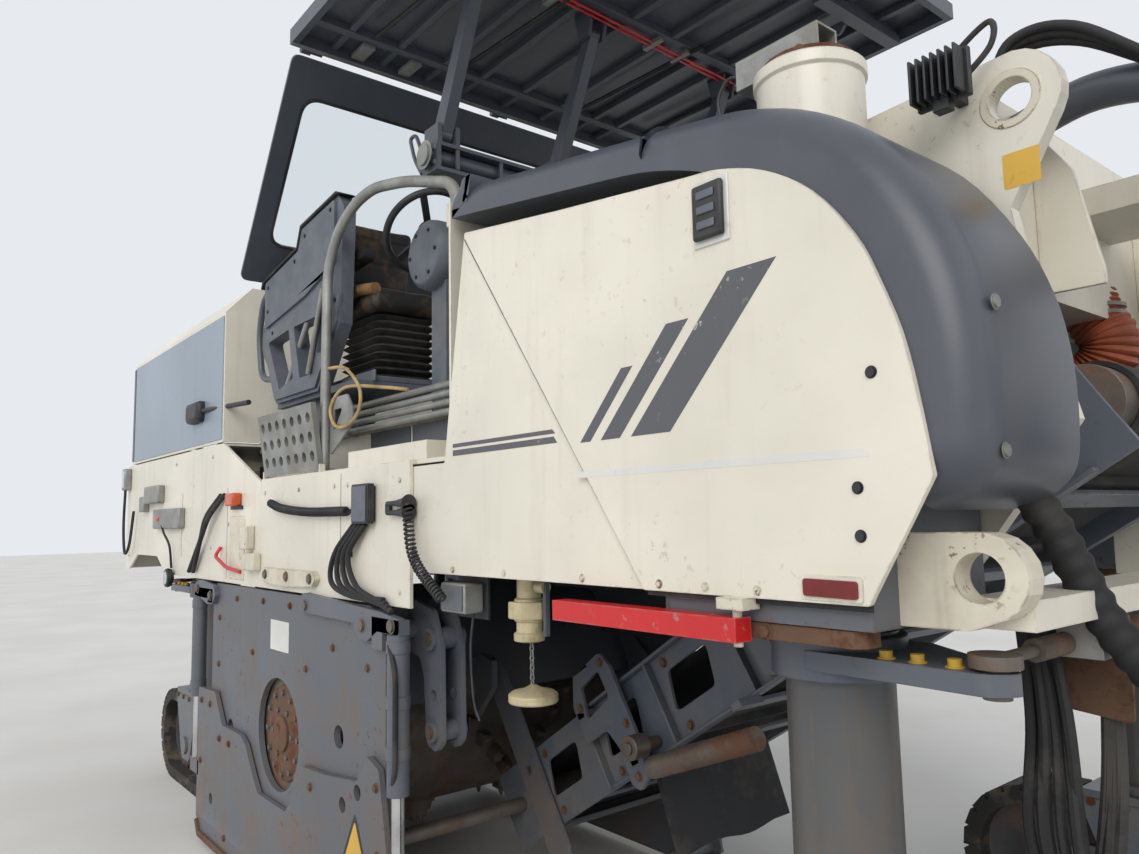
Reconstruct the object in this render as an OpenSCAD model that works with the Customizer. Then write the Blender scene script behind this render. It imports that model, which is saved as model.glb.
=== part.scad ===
// Compact front-loading cold planer on four steered tracks.
// +X is forward, +Y is the left side, +Z is up, and the tracks stand on Z = 0.
// Heights and widths are measured on the machine; lengths are counted from the milling drum's axis
// and then moved so that the whole machine is centred over the origin.

/* [Body] */
// Half of the body's width, to the outer face of the side skins
half_w = 1250; // [1200:5:1300]
// Thickness of the sheet-metal skins
skin_t = 12; // [8:1:16]
// Drum axis to the rear face of the body
rear_len = 2950; // [2900:10:3000]
// Drum axis to the nose of the front covers
front_len = 3090; // [3070:5:3100]
// Height of the lower edge of the side skins
skirt_z = 1430; // [1425:1:1440]
// Height of the deck cover at its rear edge
deck_z = 2690; // [2680:5:2720]
// Fall of the deck cover towards the front, in degrees
deck_fall = 9; // [6:0.5:9.5]
// Height of the operator's floor
floor_z = 1990; // [1970:5:2000]

/* [Tracks and legs] */
// Length of a track over its shoes
track_len = 1330; // [1250:10:1360]
// Height of a track over its shoes
track_h = 550; // [530:5:560]
// Width of a track shoe
track_w = 260; // [240:5:270]
// Number of shoes on a track
shoe_count = 40; // [34:1:44]
// Height of a shoe over its chain
shoe_t = 22; // [16:1:30]
// Radius of a leg's column
leg_r = 140; // [130:1:145]
// Distance of the legs from the middle of the machine
leg_y = 950; // [940:5:960]
// Drum axis to the front legs
front_leg_x = 2600; // [2580:5:2620]
// Drum axis to the rear legs
rear_leg_x = -1900; // [-1950:5:-1880]
// Reach of a steering arm ahead of its leg
arm_reach = 400; // [380:5:410]

/* [Drum] */
// Height of the drum's axis
drum_z = 700; // [690:5:720]
// Radius of the drum's tube
drum_r = 400; // [380:5:410]
// Radius over the tips of the picks
cut_r = 490; // [480:1:500]
// Milling width
mill_w = 1480; // [1440:5:1480]
// Number of pick flights around the drum
flight_count = 4; // [3:1:6]
// Picks in each flight
flight_picks = 19; // [14:1:24]
// Radius of the hub hole in the side plate
hub_hole_r = 234; // [200:1:240]

/* [Conveyors] */
// Middle line of both conveyors, from the middle of the machine
conv_y = -150; // [-155:1:-145]
// Width of the belts
belt_w = 600; // [540:10:640]
// Half of a conveyor frame's width
frame_half = 385; // [375:1:386]
// Rise of the first conveyor, in degrees
first_rise = 32.5; // [32:0.1:33]
// Length of the first conveyor between its drums
first_len = 2640; // [2600:5:2660]
// Rise of the discharge conveyor as parked, in degrees
out_rise = 12; // [8:0.5:14]
// Length of the discharge conveyor ahead of its pivot
out_len = 6400; // [6000:20:6600]
// Drum axis to the slewing axis
slew_x = 3560; // [3550:2:3600]

/* [Canopy] */
// Height of the underside of the raised roof
roof_z = 3740; // [3720:5:3800]
// Length of the roof
roof_len = 1930; // [1850:10:1980]
// Reach of the roof to the right, where its side flap is pulled out
roof_right = 1300; // [1296:2:1320]
// Reach of the roof to the left
roof_left = 920; // [860:10:1000]
// Length of the lifting arms between their pins
lift_arm = 590; // [570:5:595]
// Lean of the lifting arms as raised, in degrees
lift_lean = 27; // [24:1:30]

/* [Hidden] */
$fn = 48;

cream = [0.88, 0.86, 0.78];
slate = [0.27, 0.31, 0.36];
pale_blue = [0.47, 0.54, 0.60];
zinc = [0.55, 0.57, 0.57];
black = [0.07, 0.07, 0.08];
steel = [0.62, 0.62, 0.62];
red = [0.75, 0.10, 0.08];
orange = [0.85, 0.35, 0.12];
brass = [0.72, 0.62, 0.38];
clear = 0.3;
gap = 6;

// Whole length and sideways extent, which put the origin in the middle
luff_dx = 60;
whole_front = slew_x + luff_dx + (out_len + 130) * cos(out_rise) - 60 * sin(out_rise);
x_shift = -(whole_front - rear_len) / 2;
y_shift = (roof_right - half_w) / 2;

// Track
track_a = (track_len - track_h) / 2;
track_r = track_h / 2;
chain_r = track_r - shoe_t;
chain_t = 45;
track_run = 4 * track_a + 2 * PI * track_r;
pad_share = 0.8;
yoke_gap = 6;
yoke_t = 20;
yoke_half = track_w / 2 + yoke_gap + yoke_t;
foot_z = track_h + 15;
foot_t = 30;
leg_tops = [2600, 1900];
stub_r = leg_r + 10;
stub_z = 2712;

// Steering
front_arm_z = 1290;
rear_arm_z = 1200;
arm_t = 40;
arm_side = -110;
hub_r = leg_r + 30;
hub_h = 90;
tie_r = 30;
pin_r = 25;

// Drum housing
plate_t = 25;
house_right = -half_w;
house_left = house_right + plate_t + mill_w + 20 + plate_t;
drum_y0 = house_right + plate_t + 10;
house_rear = -930;
house_front = 1000;
house_low = 300;
house_top = 1300;
shell_r = 565;
shell_t = 30;
edge_t = 20;
edge_low = 30;
cyl_r = 42;
rod_r = 22;
scraper_x = -690;

// First conveyor
first_x = 760;
first_z = 420;
roll_r = 90;
belt_t = 12;
cleat_h = 25;
frame_h = 300;
frame_t = 14;

// Tower and slewing
tower_half = 600;
tower_t = 40;
tower_in = tower_half - tower_t / 2;
slew_low = 1450;
slew_high = 2330;
bearing_t = 70;
luff_z = 1730;

// Deck and panels
deck_x0 = 1400;
deck_x1 = 2560;
cover_in = tower_half + 45;
cover_half = half_w - 2 * skin_t;

// Engine and hood
engine_x = [-2500, -1050];
engine_half = 480;
hood_rear = -rear_len + 90;
hood_front = -850;
hood_low = 2030;
hood_shoulder = 2725;
hood_top = 2870;
hood_pin = [hood_rear - 25, hood_low + 20];

// Canopy
beam_x = 800;
beam_z = 3080;
pivot_up = 100;
pivot_r = 15;
roof_pin_r = 12;
roof_t = 70;
roof_x0 = 150;
arm_ys = [-900, -300, 560];
screen_len = 1150;
screen_lean = 37;
screen_pin = [roof_x0 - 25, roof_z + 10];
screen_hinges = [-roof_right + 60, -200, roof_left - 170];

// Shapes shared by the sub-parts
module place() {
    translate([x_shift, y_shift, 0])
        children();
}

module span_box(x, y, z) {
    translate([x[0], y[0], z[0]])
        cube([x[1] - x[0], y[1] - y[0], z[1] - z[0]]);
}

module upright(y0, t) {
    translate([0, y0 + t, 0])
        rotate([90, 0, 0])
            linear_extrude(t)
                children();
}

module cross_cyl(x, z, y0, y1, r) {
    translate([x, y1, z])
        rotate([90, 0, 0])
            cylinder(r = r, h = y1 - y0);
}

module rod(a, b, r) {
    d = b - a;
    run = norm([d[0], d[1]]);
    translate(a)
        rotate([0, atan2(run, d[2]), atan2(d[1], d[0])])
            cylinder(r = r, h = norm(d));
}

module bent_tube(points, r) {
    for (i = [0:len(points) - 2])
        rod(points[i], points[i + 1], r);
    for (i = [1:len(points) - 2])
        translate(points[i])
            sphere(r = r + 1);
}

function arc(c, r, a0, a1, n) = [for (i = [0:n]) let (a = a0 + (a1 - a0) * i / n) [c[0] + r * cos(a),
    c[1] + r * sin(a)]];

// Tracks: one closed loop whose outline holds the shoes
function loop_point(s, h) =
    s < 2 * track_a ? [s - track_a, -chain_r - h] :
    s < 2 * track_a + PI * track_r ?
        let (a = (s - 2 * track_a) / track_r * 180 / PI - 90) [track_a + (chain_r + h) * cos(a),
            (chain_r + h) * sin(a)] :
    s < 4 * track_a + PI * track_r ? [3 * track_a + PI * track_r - s, chain_r + h] :
        let (a = (s - 4 * track_a - PI * track_r) / track_r * 180 / PI + 90)
        [-track_a + (chain_r + h) * cos(a), (chain_r + h) * sin(a)];

module track_outline() {
    pitch = track_run / shoe_count;
    difference() {
        polygon([for (i = [0:shoe_count - 1], k = [[0, 0], [0, 1], [pad_share, 1], [pad_share, 0]])
            loop_point((i + k[0]) * pitch, k[1] * shoe_t)]);
        square([2 * track_a, 2 * (chain_r - chain_t)], center = true);
        for (x = [-track_a, track_a])
            translate([x, 0])
                circle(r = chain_r - chain_t);
    }
}

module track(x, y) {
    color(black)
        place()
            translate([x, y, track_r])
                upright(-track_w / 2, track_w)
                    track_outline();
}

// Leg: column with its keyway, foot, yoke, track frame and wheels, and the steering hub with its arm
module leg(x, y, top, arm_z, way) {
    wheel_r = chain_r - chain_t - clear;
    color(slate)
        place()
            translate([x, y, 0]) {
                difference() {
                    translate([0, 0, foot_z + foot_t])
                        cylinder(r = leg_r, h = top - foot_z - foot_t);
                    translate([-15, -leg_r - 1, foot_z + 2 * foot_t])
                        cube([30, 10, arm_z - foot_z - 3 * foot_t]);
                }
                translate([0, 0, arm_z - hub_h / 2])
                    cylinder(r = hub_r, h = hub_h);
                span_box([-200, 200], [-yoke_half, yoke_half], [foot_z, foot_z + foot_t]);
                for (s = [-1, 1])
                    upright(s > 0 ? yoke_half - yoke_t : -yoke_half, yoke_t)
                        polygon([[-200, foot_z + 5], [200, foot_z + 5], [90, track_r - 80],
                            [-90, track_r - 80]]);
                cross_cyl(0, track_r, -yoke_half - 15, yoke_half + 15, 50);
                span_box([-track_a + 60, track_a - 60], [-60, 60], [track_r - 110, track_r + 90]);
                for (s = [-1, 1]) {
                    cross_cyl(s * track_a, track_r, -55, 55, wheel_r);
                    span_box([s * track_a - 90, s * track_a + 90], [-70, 70], [track_r - 40, track_r + 40]);
                }
                for (k = [-1.5, -0.5, 0.5, 1.5])
                    cross_cyl(k * 200, shoe_t + chain_t + 62 + clear, -70, 70, 62);
                steering_arm(arm_z, way);
            }
}

module steering_arm(z, way) {
    difference() {
        translate([0, 0, z - arm_t / 2])
            linear_extrude(arm_t)
                polygon([[0, -150], [way * arm_reach * 0.5, -150], [way * arm_reach, arm_side - 50],
                    [way * (arm_reach + 45), arm_side], [way * arm_reach, arm_side + 50],
                        [way * 150, 130], [0, 150]]);
        translate([way * arm_reach, arm_side, z - arm_t])
            cylinder(r = pin_r + clear, h = 2 * arm_t);
    }
}

// A tie rod joins two parallel arms; its eyes lie on top of them and its pins run down through them
module tie_rod(x, z, way) {
    px = x + way * arm_reach;
    eye_z = z + arm_t / 2 + gap;
    color(steel)
        place() {
            for (s = [-1, 1])
                translate([px, s * leg_y + arm_side, 0]) {
                    translate([0, 0, eye_z])
                        cylinder(r = 46, h = 24);
                    translate([0, 0, z - arm_t / 2 - 10])
                        cylinder(r = pin_r, h = arm_t + 30);
                }
            cross_cyl(px, eye_z + 12, -leg_y + arm_side + 30, leg_y + arm_side - 30, 12);
            cross_cyl(px, eye_z + 12, -leg_y + arm_side + 160, leg_y + arm_side - 500, tie_r * 0.75);
        }
}

// Chassis: rails and cross members, rear head and front heads with the leg bores, upper cross box
module main_frame() {
    color(slate)
        place() {
            for (s = [-1, 1]) {
                span_box([rear_leg_x + 400, 2330], s > 0 ? [1080, 1160] : [-1160, -1080], [1450, 1700]);
                for (x = [-200, 600])
                    span_box([x, x + 12], s > 0 ? [1160, half_w - skin_t] : [-half_w + skin_t, -1160],
                        [1450, 1700]);
                span_box([1388, 1400], s > 0 ? [1160, half_w - 2 * skin_t] : [-half_w + 2 * skin_t,
                    -1160], [1450, 1700]);
                difference() {
                    union() {
                        span_box([2330, 2860],
                            s > 0 ? [leg_y - 165, half_w - 30] : [-half_w + 30, -leg_y + 165],
                            [1380, 2250]);
                        span_box([2330, 2700], s > 0 ? [0, leg_y] : [-leg_y, 0], [2060, 2250]);
                    }
                    translate([front_leg_x, s * leg_y, 1300])
                        cylinder(r = leg_r + clear, h = 1000);
                }
            }
            difference() {
                span_box([rear_leg_x - 400, rear_leg_x + 400], [-1160, 1160], [1300, 1620]);
                for (s = [-1, 1])
                    translate([rear_leg_x, s * leg_y, 1200])
                        cylinder(r = leg_r + clear, h = 500);
            }
            for (x = [-1000, -100, 850, 1500])
                span_box([x, x + 80], [-1100, 1100], [1480, 1690]);
            span_box([-1480, 1560], [-1100, 1100], [1690, 1705]);
        }
}

// Rear leg sleeves and the right front leg's sleeve that stands out of the deck
module leg_stubs() {
    color(cream)
        place() {
            for (s = [-1, 1]) {
                difference() {
                    translate([front_leg_x, s * leg_y, 2250])
                        cylinder(r = stub_r, h = stub_z - 2250);
                    translate([front_leg_x, s * leg_y, 2240])
                        cylinder(r = leg_r + clear, h = 370);
                }
                difference() {
                    translate([rear_leg_x, s * leg_y, 1620])
                        cylinder(r = leg_r + 25, h = 330);
                    translate([rear_leg_x, s * leg_y, 1610])
                        cylinder(r = leg_r + clear, h = 300);
                }
                translate([front_leg_x, s * leg_y, stub_z]) {
                    translate([-60, -30, 0])
                        cube([60, 60, 50]);
                    translate([-120, -40, 50])
                        cube([270, 80, 60]);
                }
            }
        }
}

module engine_block() {
    color(steel)
        place()
            span_box(engine_x, [-engine_half, engine_half], [1705, 2500]);
}

hood_hinges = [-760, 680];

// Rear lower body: two skirts with a shallow notch, rear wall and deck
module rear_skirt_outline() {
    polygon([[-rear_len, 1310], [-rear_len + 120, 1310], [-rear_len + 330, 1410], [rear_leg_x - 200, 1410],
        [rear_leg_x, 1310], [-250, 1310], [-250, 1790], [-830, hood_low - 10], [-rear_len, hood_low - 10]]);
}

module rear_body() {
    color(cream)
        place() {
            for (y = [-half_w, half_w - skin_t])
                upright(y, skin_t)
                    rear_skirt_outline();
            span_box([-rear_len, -rear_len + skin_t], [-half_w + skin_t, half_w - skin_t],
                [1310, hood_low - 10]);
            difference() {
                span_box([-rear_len + skin_t, -830], [-half_w + skin_t, half_w - skin_t],
                    [hood_low - 22, hood_low - 10]);
                span_box(engine_x, [-engine_half, engine_half], [hood_low - 30, hood_low]);
            }
            for (y = hood_hinges) {
                span_box([hood_pin[0] - 18, hood_pin[0] + 18], [y, y + 20], [hood_low - 10, hood_pin[1]]);
                cross_cyl(hood_pin[0], hood_pin[1], y, y + 20, 18);
                cross_cyl(hood_pin[0], hood_pin[1], y + 19, y + 80, 10);
            }
        }
}

// Mid body between the hood and the deck: side walls with the access recess, ledges and bulkhead
module mid_body() {
    color(cream)
        place() {
            for (s = [-1, 1]) {
                span_box([-250, 1170], s > 0 ? [half_w - skin_t, half_w] : [-half_w, -half_w + skin_t],
                    [1310, 1790]);
                span_box([-250, 1170], s > 0 ? [1010, half_w] : [-half_w, -1010], [1790, 1805]);
                span_box([1150, 1400], s > 0 ? [1010, half_w - 2 * skin_t] : [-half_w + 2 * skin_t,
                    -1010], [1790, 1805]);
                span_box([620, 1230], s > 0 ? [1010, half_w - 30] : [-half_w + 30, -1010], [1805, 1870]);
                span_box([-830, 1400], s > 0 ? [1010, 1022] : [-1022, -1010], [1805, floor_z - 20]);
            }
            span_box([1388, 1400], [-half_w + 2 * skin_t, half_w - 2 * skin_t], [1805, 2640]);
            for (x = [step_pin[0] - 16, step_pin[0] + step_len + 6])
                span_box([x, x + 10], [step_pin[1] - 12, step_pin[1] + 12], [1805, step_pin[2] + 12]);
            for (x = [step_pin[0] - 7, step_pin[0] + step_len - 29])
                translate([x, step_pin[1], step_pin[2]])
                    rotate([0, 90, 0])
                        cylinder(r = 8, h = 36);
        }
}

// Outer side panel of the water tank and the inner panel behind it
module side_outline() {
    polygon(concat([[1510, 2500], [2290, skirt_z], [2870, skirt_z], [2880, 1475], [3015, 1650]],
        [[2985, 1900]], arc([2600, 1980], 345, 12, 72, 8), [[2480, 2368]]));
}

module mid_outline() {
    polygon([[1400, 2500], [1330, 1790], [1150, 1790], [1150, skirt_z], [2400, skirt_z], [2400, 2350]]);
}

module side_panels() {
    color(cream)
        place()
            for (y = [-half_w, half_w - skin_t])
                upright(y, skin_t)
                    side_outline();
}

module mid_panels() {
    color(cream)
        place()
            for (y = [-half_w + skin_t, half_w - 2 * skin_t])
                upright(y, skin_t)
                    mid_outline();
}

// Moulded covers: full-width deck, and a nose on each side of the conveyor
module cover_profile() {
    polygon(concat([[deck_x0, 2450], [deck_x0, deck_z - 60], [deck_x0 + 60, deck_z]],
        [[deck_x1, deck_z - (deck_x1 - deck_x0) * tan(deck_fall)]], arc([2500, 1960], 545, 72, 8, 10),
        [[front_len, 1800], [front_len - 30, 1710], [2950, 1610], [2860, 1900], [2560, 2350]]));
}

module front_covers() {
    color(slate)
        place()
            difference() {
                intersection() {
                    upright(-cover_half, 2 * cover_half)
                        cover_profile();
                    rotate([90, 0, 90])
                        linear_extrude(2 * front_len)
                            polygon([[-cover_half, 1500], [cover_half, 1500], [cover_half, 2380],
                                [half_w - 50, 2600], [half_w - 160, 2800], [-half_w + 160, 2800],
                                [-half_w + 50, 2600], [-cover_half, 2380]]);
                }
                span_box([2230, front_len + 10], [conv_y - cover_in, conv_y + cover_in], [1500, 2900]);
                for (s = [-1, 1])
                    translate([front_leg_x, s * leg_y, 2200])
                        cylinder(r = stub_r + 4, h = 800);
                span_box([2300, 2860], [-half_w, half_w], [1300, 2250]);
            }
}

// Tower plates with their lifting eyes, cross box, slewing bearings
module tower_outline() {
    difference() {
        polygon(concat([[2400, 2250], [2400, 2560]], arc([2980, 2490], 105, 100, -30, 8),
            [[2965, 2250], [3000, 2040], [3062, 1780], [2850, 1500], [2760, 1390], [2700, 1390],
                [2700, 2250]]));
        translate([2980, 2490])
            circle(r = 46);
    }
}

module conveyor_tower() {
    color(cream)
        place() {
            for (s = [-1, 1])
                upright(conv_y + s * tower_half - tower_t / 2, tower_t)
                    tower_outline();
            span_box([2700, 2900], [conv_y - tower_half + 20, conv_y + tower_half - 20], [2110, 2560]);
            span_box([2900, slew_x - 50], [conv_y - 160, conv_y + 160], [slew_high, slew_high + bearing_t]);
            difference() {
                translate([slew_x, conv_y, slew_high])
                    cylinder(r = 110, h = bearing_t);
                translate([slew_x, conv_y, slew_high - 1])
                    cylinder(r = 45 + clear, h = bearing_t + 2);
            }
            difference() {
                union() {
                    span_box([2960, 3080], [-1070, 1070], [1385, 1440]);
                    span_box([3080, slew_x - 50], [conv_y - 200, conv_y + 200],
                        [slew_low - bearing_t, slew_low]);
                    translate([slew_x, conv_y, slew_low - bearing_t])
                        cylinder(r = 120, h = bearing_t);
                }
                translate([slew_x, conv_y, slew_low - bearing_t - 1])
                    cylinder(r = 45 + clear, h = bearing_t + 2);
            }
        }
}

// Lashing plates under the front corners, with their round holes, and the guide bar's bracket
bar_pin = [2570, -half_w - 5];
step_pin = [-230, -half_w + 16, 1826];
step_len = 620;
module lashing_plates() {
    color(cream)
        place() {
            span_box([2535, 2605], [-half_w - 30, -half_w + 24], [1406, skirt_z]);
            translate([bar_pin[0], bar_pin[1], 1330])
                cylinder(r = 10, h = 80);
            for (s = [-1, 1])
                upright(s > 0 ? 1070 : -1130, 60)
                    difference() {
                        polygon(concat([[2860, 1385], [2860, 1560], [2990, 1560]],
                            arc([3020, 1480], 80, 80, -80, 8),
                            [[2990, 1385]]));
                        translate([3015, 1480])
                            circle(r = 45);
                    }
        }
}

// Engine hood: a shell with bevelled shoulders, hinged at its lower rear edge
module hood_section(inset) {
    polygon([[-half_w + 5 + inset, hood_low - 1], [half_w - 5 - inset, hood_low - 1],
        [half_w - 5 - inset, hood_shoulder - inset * 0.4], [half_w - 140 - inset * 0.4, hood_top - inset],
        [-half_w + 140 + inset * 0.4, hood_top - inset],
            [-half_w + 5 + inset, hood_shoulder - inset * 0.4]]);
}

module engine_hood() {
    color(cream)
        place()
            difference() {
                translate([hood_rear, 0, 0])
                    rotate([90, 0, 90])
                        linear_extrude(hood_front - hood_rear)
                            hood_section(0);
                translate([hood_rear + skin_t, 0, -1])
                    rotate([90, 0, 90])
                        linear_extrude(hood_front - hood_rear - 2 * skin_t)
                            hood_section(skin_t);
                span_box([hood_rear - 1, hood_front + 1], [-half_w, half_w], [hood_low - 50, hood_low]);
                span_box([hood_rear - 1, hood_rear + skin_t + 1], [-900, 900],
                    [hood_low + 110, hood_shoulder - 60]);
            }
    color(cream)
        place()
            for (y = hood_hinges)
                difference() {
                    union() {
                        cross_cyl(hood_pin[0], hood_pin[1], y + 26, y + 76, 18);
                        span_box([hood_pin[0], hood_rear], [y + 26, y + 76],
                            [hood_pin[1] - 10, hood_pin[1] + 10]);
                    }
                    cross_cyl(hood_pin[0], hood_pin[1], y + 20, y + 82, 10 + clear);
                }
}

module hood_sides() {
    color(pale_blue)
        place()
            for (s = [-1, 1])
                span_box([hood_rear + 60, hood_front - 20],
                    s > 0 ? [half_w - 5, half_w] : [-half_w, -half_w + 5],
                    [hood_low + 15, hood_shoulder - 20]);
}

module hood_grille() {
    color(slate)
        place() {
            for (z = [hood_low + 120:45:hood_shoulder - 80])
                span_box([hood_rear + 2, hood_rear + 42], [-880, 880], [z, z + 12]);
            for (y = [-890, -300, 300, 880])
                span_box([hood_rear + 2, hood_rear + skin_t], [y - 10, y + 10],
                    [hood_low + 112, hood_shoulder - 62]);
        }
}

// Operator's floor, with the row of tubes along each side of it
module platform_floor() {
    color(zinc)
        place() {
            span_box([-830, 1385], [-1060, 1060], [floor_z - 20, floor_z]);
            for (s = [-1, 1], k = [0:3])
                rod([330, s * (1085 - 4 * k), floor_z - 8 + 34 * k],
                    [1340, s * (1085 - 4 * k), floor_z - 8 + 34 * k], 13);
            for (s = [-1, 1], x = [340, 1320])
                span_box([x - 8, x + 8], s > 0 ? [1050, 1100] : [-1100, -1050],
                    [floor_z - 30, floor_z + 105]);
        }
}

module cross_beam() {
    color(slate)
        place() {
            difference() {
                span_box([beam_x - 60, beam_x + 60], [-960, 960], [beam_z - 75, beam_z + 45]);
                span_box([beam_x - 45, beam_x + 61], [-940, 940], [beam_z - 60, beam_z + 30]);
            }
            cross_cyl(beam_x, beam_z - 5, -985, 985, 36);
            for (s = [-1, 1])
                span_box([beam_x - 50, beam_x + 50], s > 0 ? [500, 560] : [-560, -500],
                    [floor_z, beam_z - 75]);
            for (y = arm_ys) {
                for (e = [-52, 32])
                    span_box([beam_x - 55, beam_x + 55], [y + e, y + e + 20],
                        [beam_z + 45, beam_z + pivot_up + 25]);
                cross_cyl(beam_x, beam_z + pivot_up, y - 52, y + 52, pivot_r);
            }
        }
}

module handrails() {
    color(zinc)
        place()
            for (s = [-1, 1])
                bent_tube([[440, s * 1215, 1805], [440, s * 1215, 2500], [620, s * 1205, 2720],
                    [650, s * 1200, 2860],
                    [760, s * 1190, 2940], [1060, s * 1180, 2930], [1190, s * 1170, 2860],
                        [1190, s * 1170, 2660]], 21);
}

// Side consoles beside the seats: sloped top, cut-outs and base plate
module console_outline() {
    difference() {
        polygon([[-330, 2180], [-450, 2480], [-460, 2880], [-330, 2930], [380, 2960], [440, 2900],
            [400, 2420], [180, 2180]]);
        polygon([[-60, 2480], [180, 2480], [140, 2260], [40, 2260]]);
        polygon([[230, 2480], [330, 2480], [300, 2360], [210, 2360]]);
    }
}

module seat_consoles() {
    color(slate)
        place()
            for (s = [-1, 1]) {
                upright(s > 0 ? 1115 : -1185, 70)
                    console_outline();
                span_box([-340, 520], s > 0 ? [720, 1150] : [-1150, -720], [2150, 2180]);
                span_box([-250, 120], s > 0 ? [860, 1100] : [-1100, -860], [floor_z, 2150]);
            }
}

module seat_cushions() {
    color(black)
        place()
            for (s = [-1, 1]) {
                span_box([60, 560], s > 0 ? [690, 1090] : [-1090, -690], [2480, 2590]);
                translate([75, s > 0 ? 690 : -1090, 2570])
                    rotate([0, -10, 0])
                        cube([90, 400, 420]);
            }
}

module seat_bellows() {
    color(black)
        place()
            for (s = [-1, 1]) {
                span_box([120, 500], s > 0 ? [740, 1040] : [-1040, -740], [2204, 2480 - clear]);
                span_box([100, 520], s > 0 ? [720, 1060] : [-1060, -720], [2180 + clear, 2204]);
            }
}

module steering_console() {
    color(slate)
        place() {
            span_box([830, 950], [-980, -820], [floor_z, 2560]);
            cross_cyl(860, 2640, wheel_at[1] - 110, wheel_at[1] + 110, 125);
            rod(wheel_at + 150 * wheel_dir, wheel_at + (10 + clear) * wheel_dir, 28);
        }
}

wheel_at = [690, -900, 2800];
wheel_lean = -45;
wheel_dir = [-sin(wheel_lean), 0, -cos(wheel_lean)];
module steering_wheel() {
    color(black)
        place()
            translate(wheel_at)
                rotate([0, wheel_lean, 0]) {
                    rotate_extrude()
                        translate([185, 0])
                            circle(r = 15);
                    translate([0, 0, -10])
                        cylinder(r = 40, h = 35);
                    for (a = [90, 210, 330])
                        rotate([0, 0, a])
                            translate([20, -14, -6])
                                cube([160, 28, 12]);
                }
}

// Drum housing: side plates with their holes, shell over the drum, brackets to the chassis
module house_outline() {
    polygon([[house_rear + 60, house_top], [house_rear, house_top - 60], [house_rear, house_low + 160],
        [house_rear + 160, house_low], [house_front - 160, house_low], [house_front, house_low + 160],
        [house_front, house_top - 120], [house_front - 120, house_top]]);
}

module drum_housing() {
    color(slate)
        place() {
            upright(house_right, plate_t)
                difference() {
                    house_outline();
                    translate([0, drum_z])
                        circle(r = hub_hole_r);
                    for (p = [[620, 800], [700, 560], [-620, 620]])
                        translate(p)
                            circle(r = 42);
                }
            upright(house_left - plate_t, plate_t)
                difference() {
                    house_outline();
                    translate([0, drum_z])
                        circle(r = 150);
                }
            upright(house_right + plate_t, house_left - house_right - 2 * plate_t)
                difference() {
                    translate([0, drum_z])
                        circle(r = shell_r + shell_t);
                    translate([0, drum_z])
                        circle(r = shell_r);
                    translate([-700, drum_z - 700])
                        square([1400, 560]);
                    translate([0, drum_z - 200])
                        square([700, 360]);
                }
            cross_cyl(hold_pin[0], hold_pin[1], conv_y + hold_in - 2, house_left - plate_t, pin_r);
            cross_cyl(hold_pin[0], hold_pin[1], conv_y - hold_in - 60, conv_y - hold_in + 2, pin_r);
            upright(conv_y - hold_in - 60, 30)
                polygon([[480, 980], [560, 760], [690, 900], [690, 1010], [600, 1030]]);
            span_box([-560, 640], [-1165, -1065], [drum_z + shell_r - 10, 1450]);
            span_box([-560, 640], [80, 180], [drum_z + shell_r - 10, 1480]);
        }
}

module drum_drive() {
    color(slate)
        place() {
            cross_cyl(0, drum_z, house_left, house_left + 130, 200);
            cross_cyl(0, drum_z, house_left + 130, house_left + 170, 120);
            upright(house_left, 60)
                polygon([[-140, drum_z + 140], [140, drum_z + 140], [220, 1470], [-220, 1470]]);
        }
}

// Milling drum: tube, end discs, hub and helical flights of picks
module pick_at(a, y) {
    translate([0, y, drum_z])
        rotate([0, a, 0]) {
            translate([drum_r - 12, -22, -28])
                cube([cut_r - drum_r - 20, 44, 56]);
            translate([cut_r - 42, 0, 10])
                rotate([0, 70, 0])
                    cylinder(r1 = 20, r2 = 5, h = 45, $fn = 8);
        }
}

module milling_drum() {
    wrap = 200;
    color(zinc)
        place() {
            cross_cyl(0, drum_z, drum_y0, drum_y0 + mill_w, drum_r);
            cross_cyl(0, drum_z, drum_y0, drum_y0 + 30, drum_r + 35);
            cross_cyl(0, drum_z, drum_y0 + mill_w - 30, drum_y0 + mill_w, drum_r + 35);
            cross_cyl(0, drum_z, drum_y0 - 4, drum_y0, 120);
            cross_cyl(0, drum_z, drum_y0 + mill_w, house_left - clear, 140);
            for (f = [0:flight_count - 1], i = [0:flight_picks - 1])
                let (u = i / (flight_picks - 1), mirrored = u > 0.62 ? 1.24 - u : u)
                    pick_at(360 / flight_count * f + wrap * mirrored, drum_y0 + 60 + u * (mill_w - 120));
        }
}

// Edge protectors: stepped plates that slide beside the housing on two rods
module edge_outline() {
    polygon([[-1060, edge_low + 90], [-990, edge_low], [990, edge_low], [1060, edge_low + 90], [1060, 560],
        [900, 620], [800, 620], [720, 330], [260, 330], [230, 150], [-230, 150], [-260, 330], [-700, 330],
        [-760, 500], [-860, 740], [-1060, 740]]);
}

edge_rods = [[-1140, -1185, -1040], [1100, 1040, 1145]];
module edge_plate(y0, rod_y, lug_y) {
    place() {
        color(slate) {
            upright(y0, edge_t)
                difference() {
                    edge_outline();
                    for (p = [[820, 250], [600, 200], [-820, 250]])
                        translate(p)
                            circle(r = 30);
                }
            for (rod = edge_rods)
                span_box([rod[1], rod[2]], lug_y, [330, 400]);
        }
        color(steel)
            for (rod = edge_rods)
                translate([rod[0], rod_y, 399])
                    cylinder(r = rod_r, h = 420);
    }
}

module edge_plate_right() {
    edge_plate(-half_w - edge_t - gap, -half_w - 5, [-half_w - 26, -half_w + 20]);
}

module edge_plate_left() {
    edge_plate(house_left + gap, house_left + 5, [house_left - 20, house_left + 26]);
}

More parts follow.
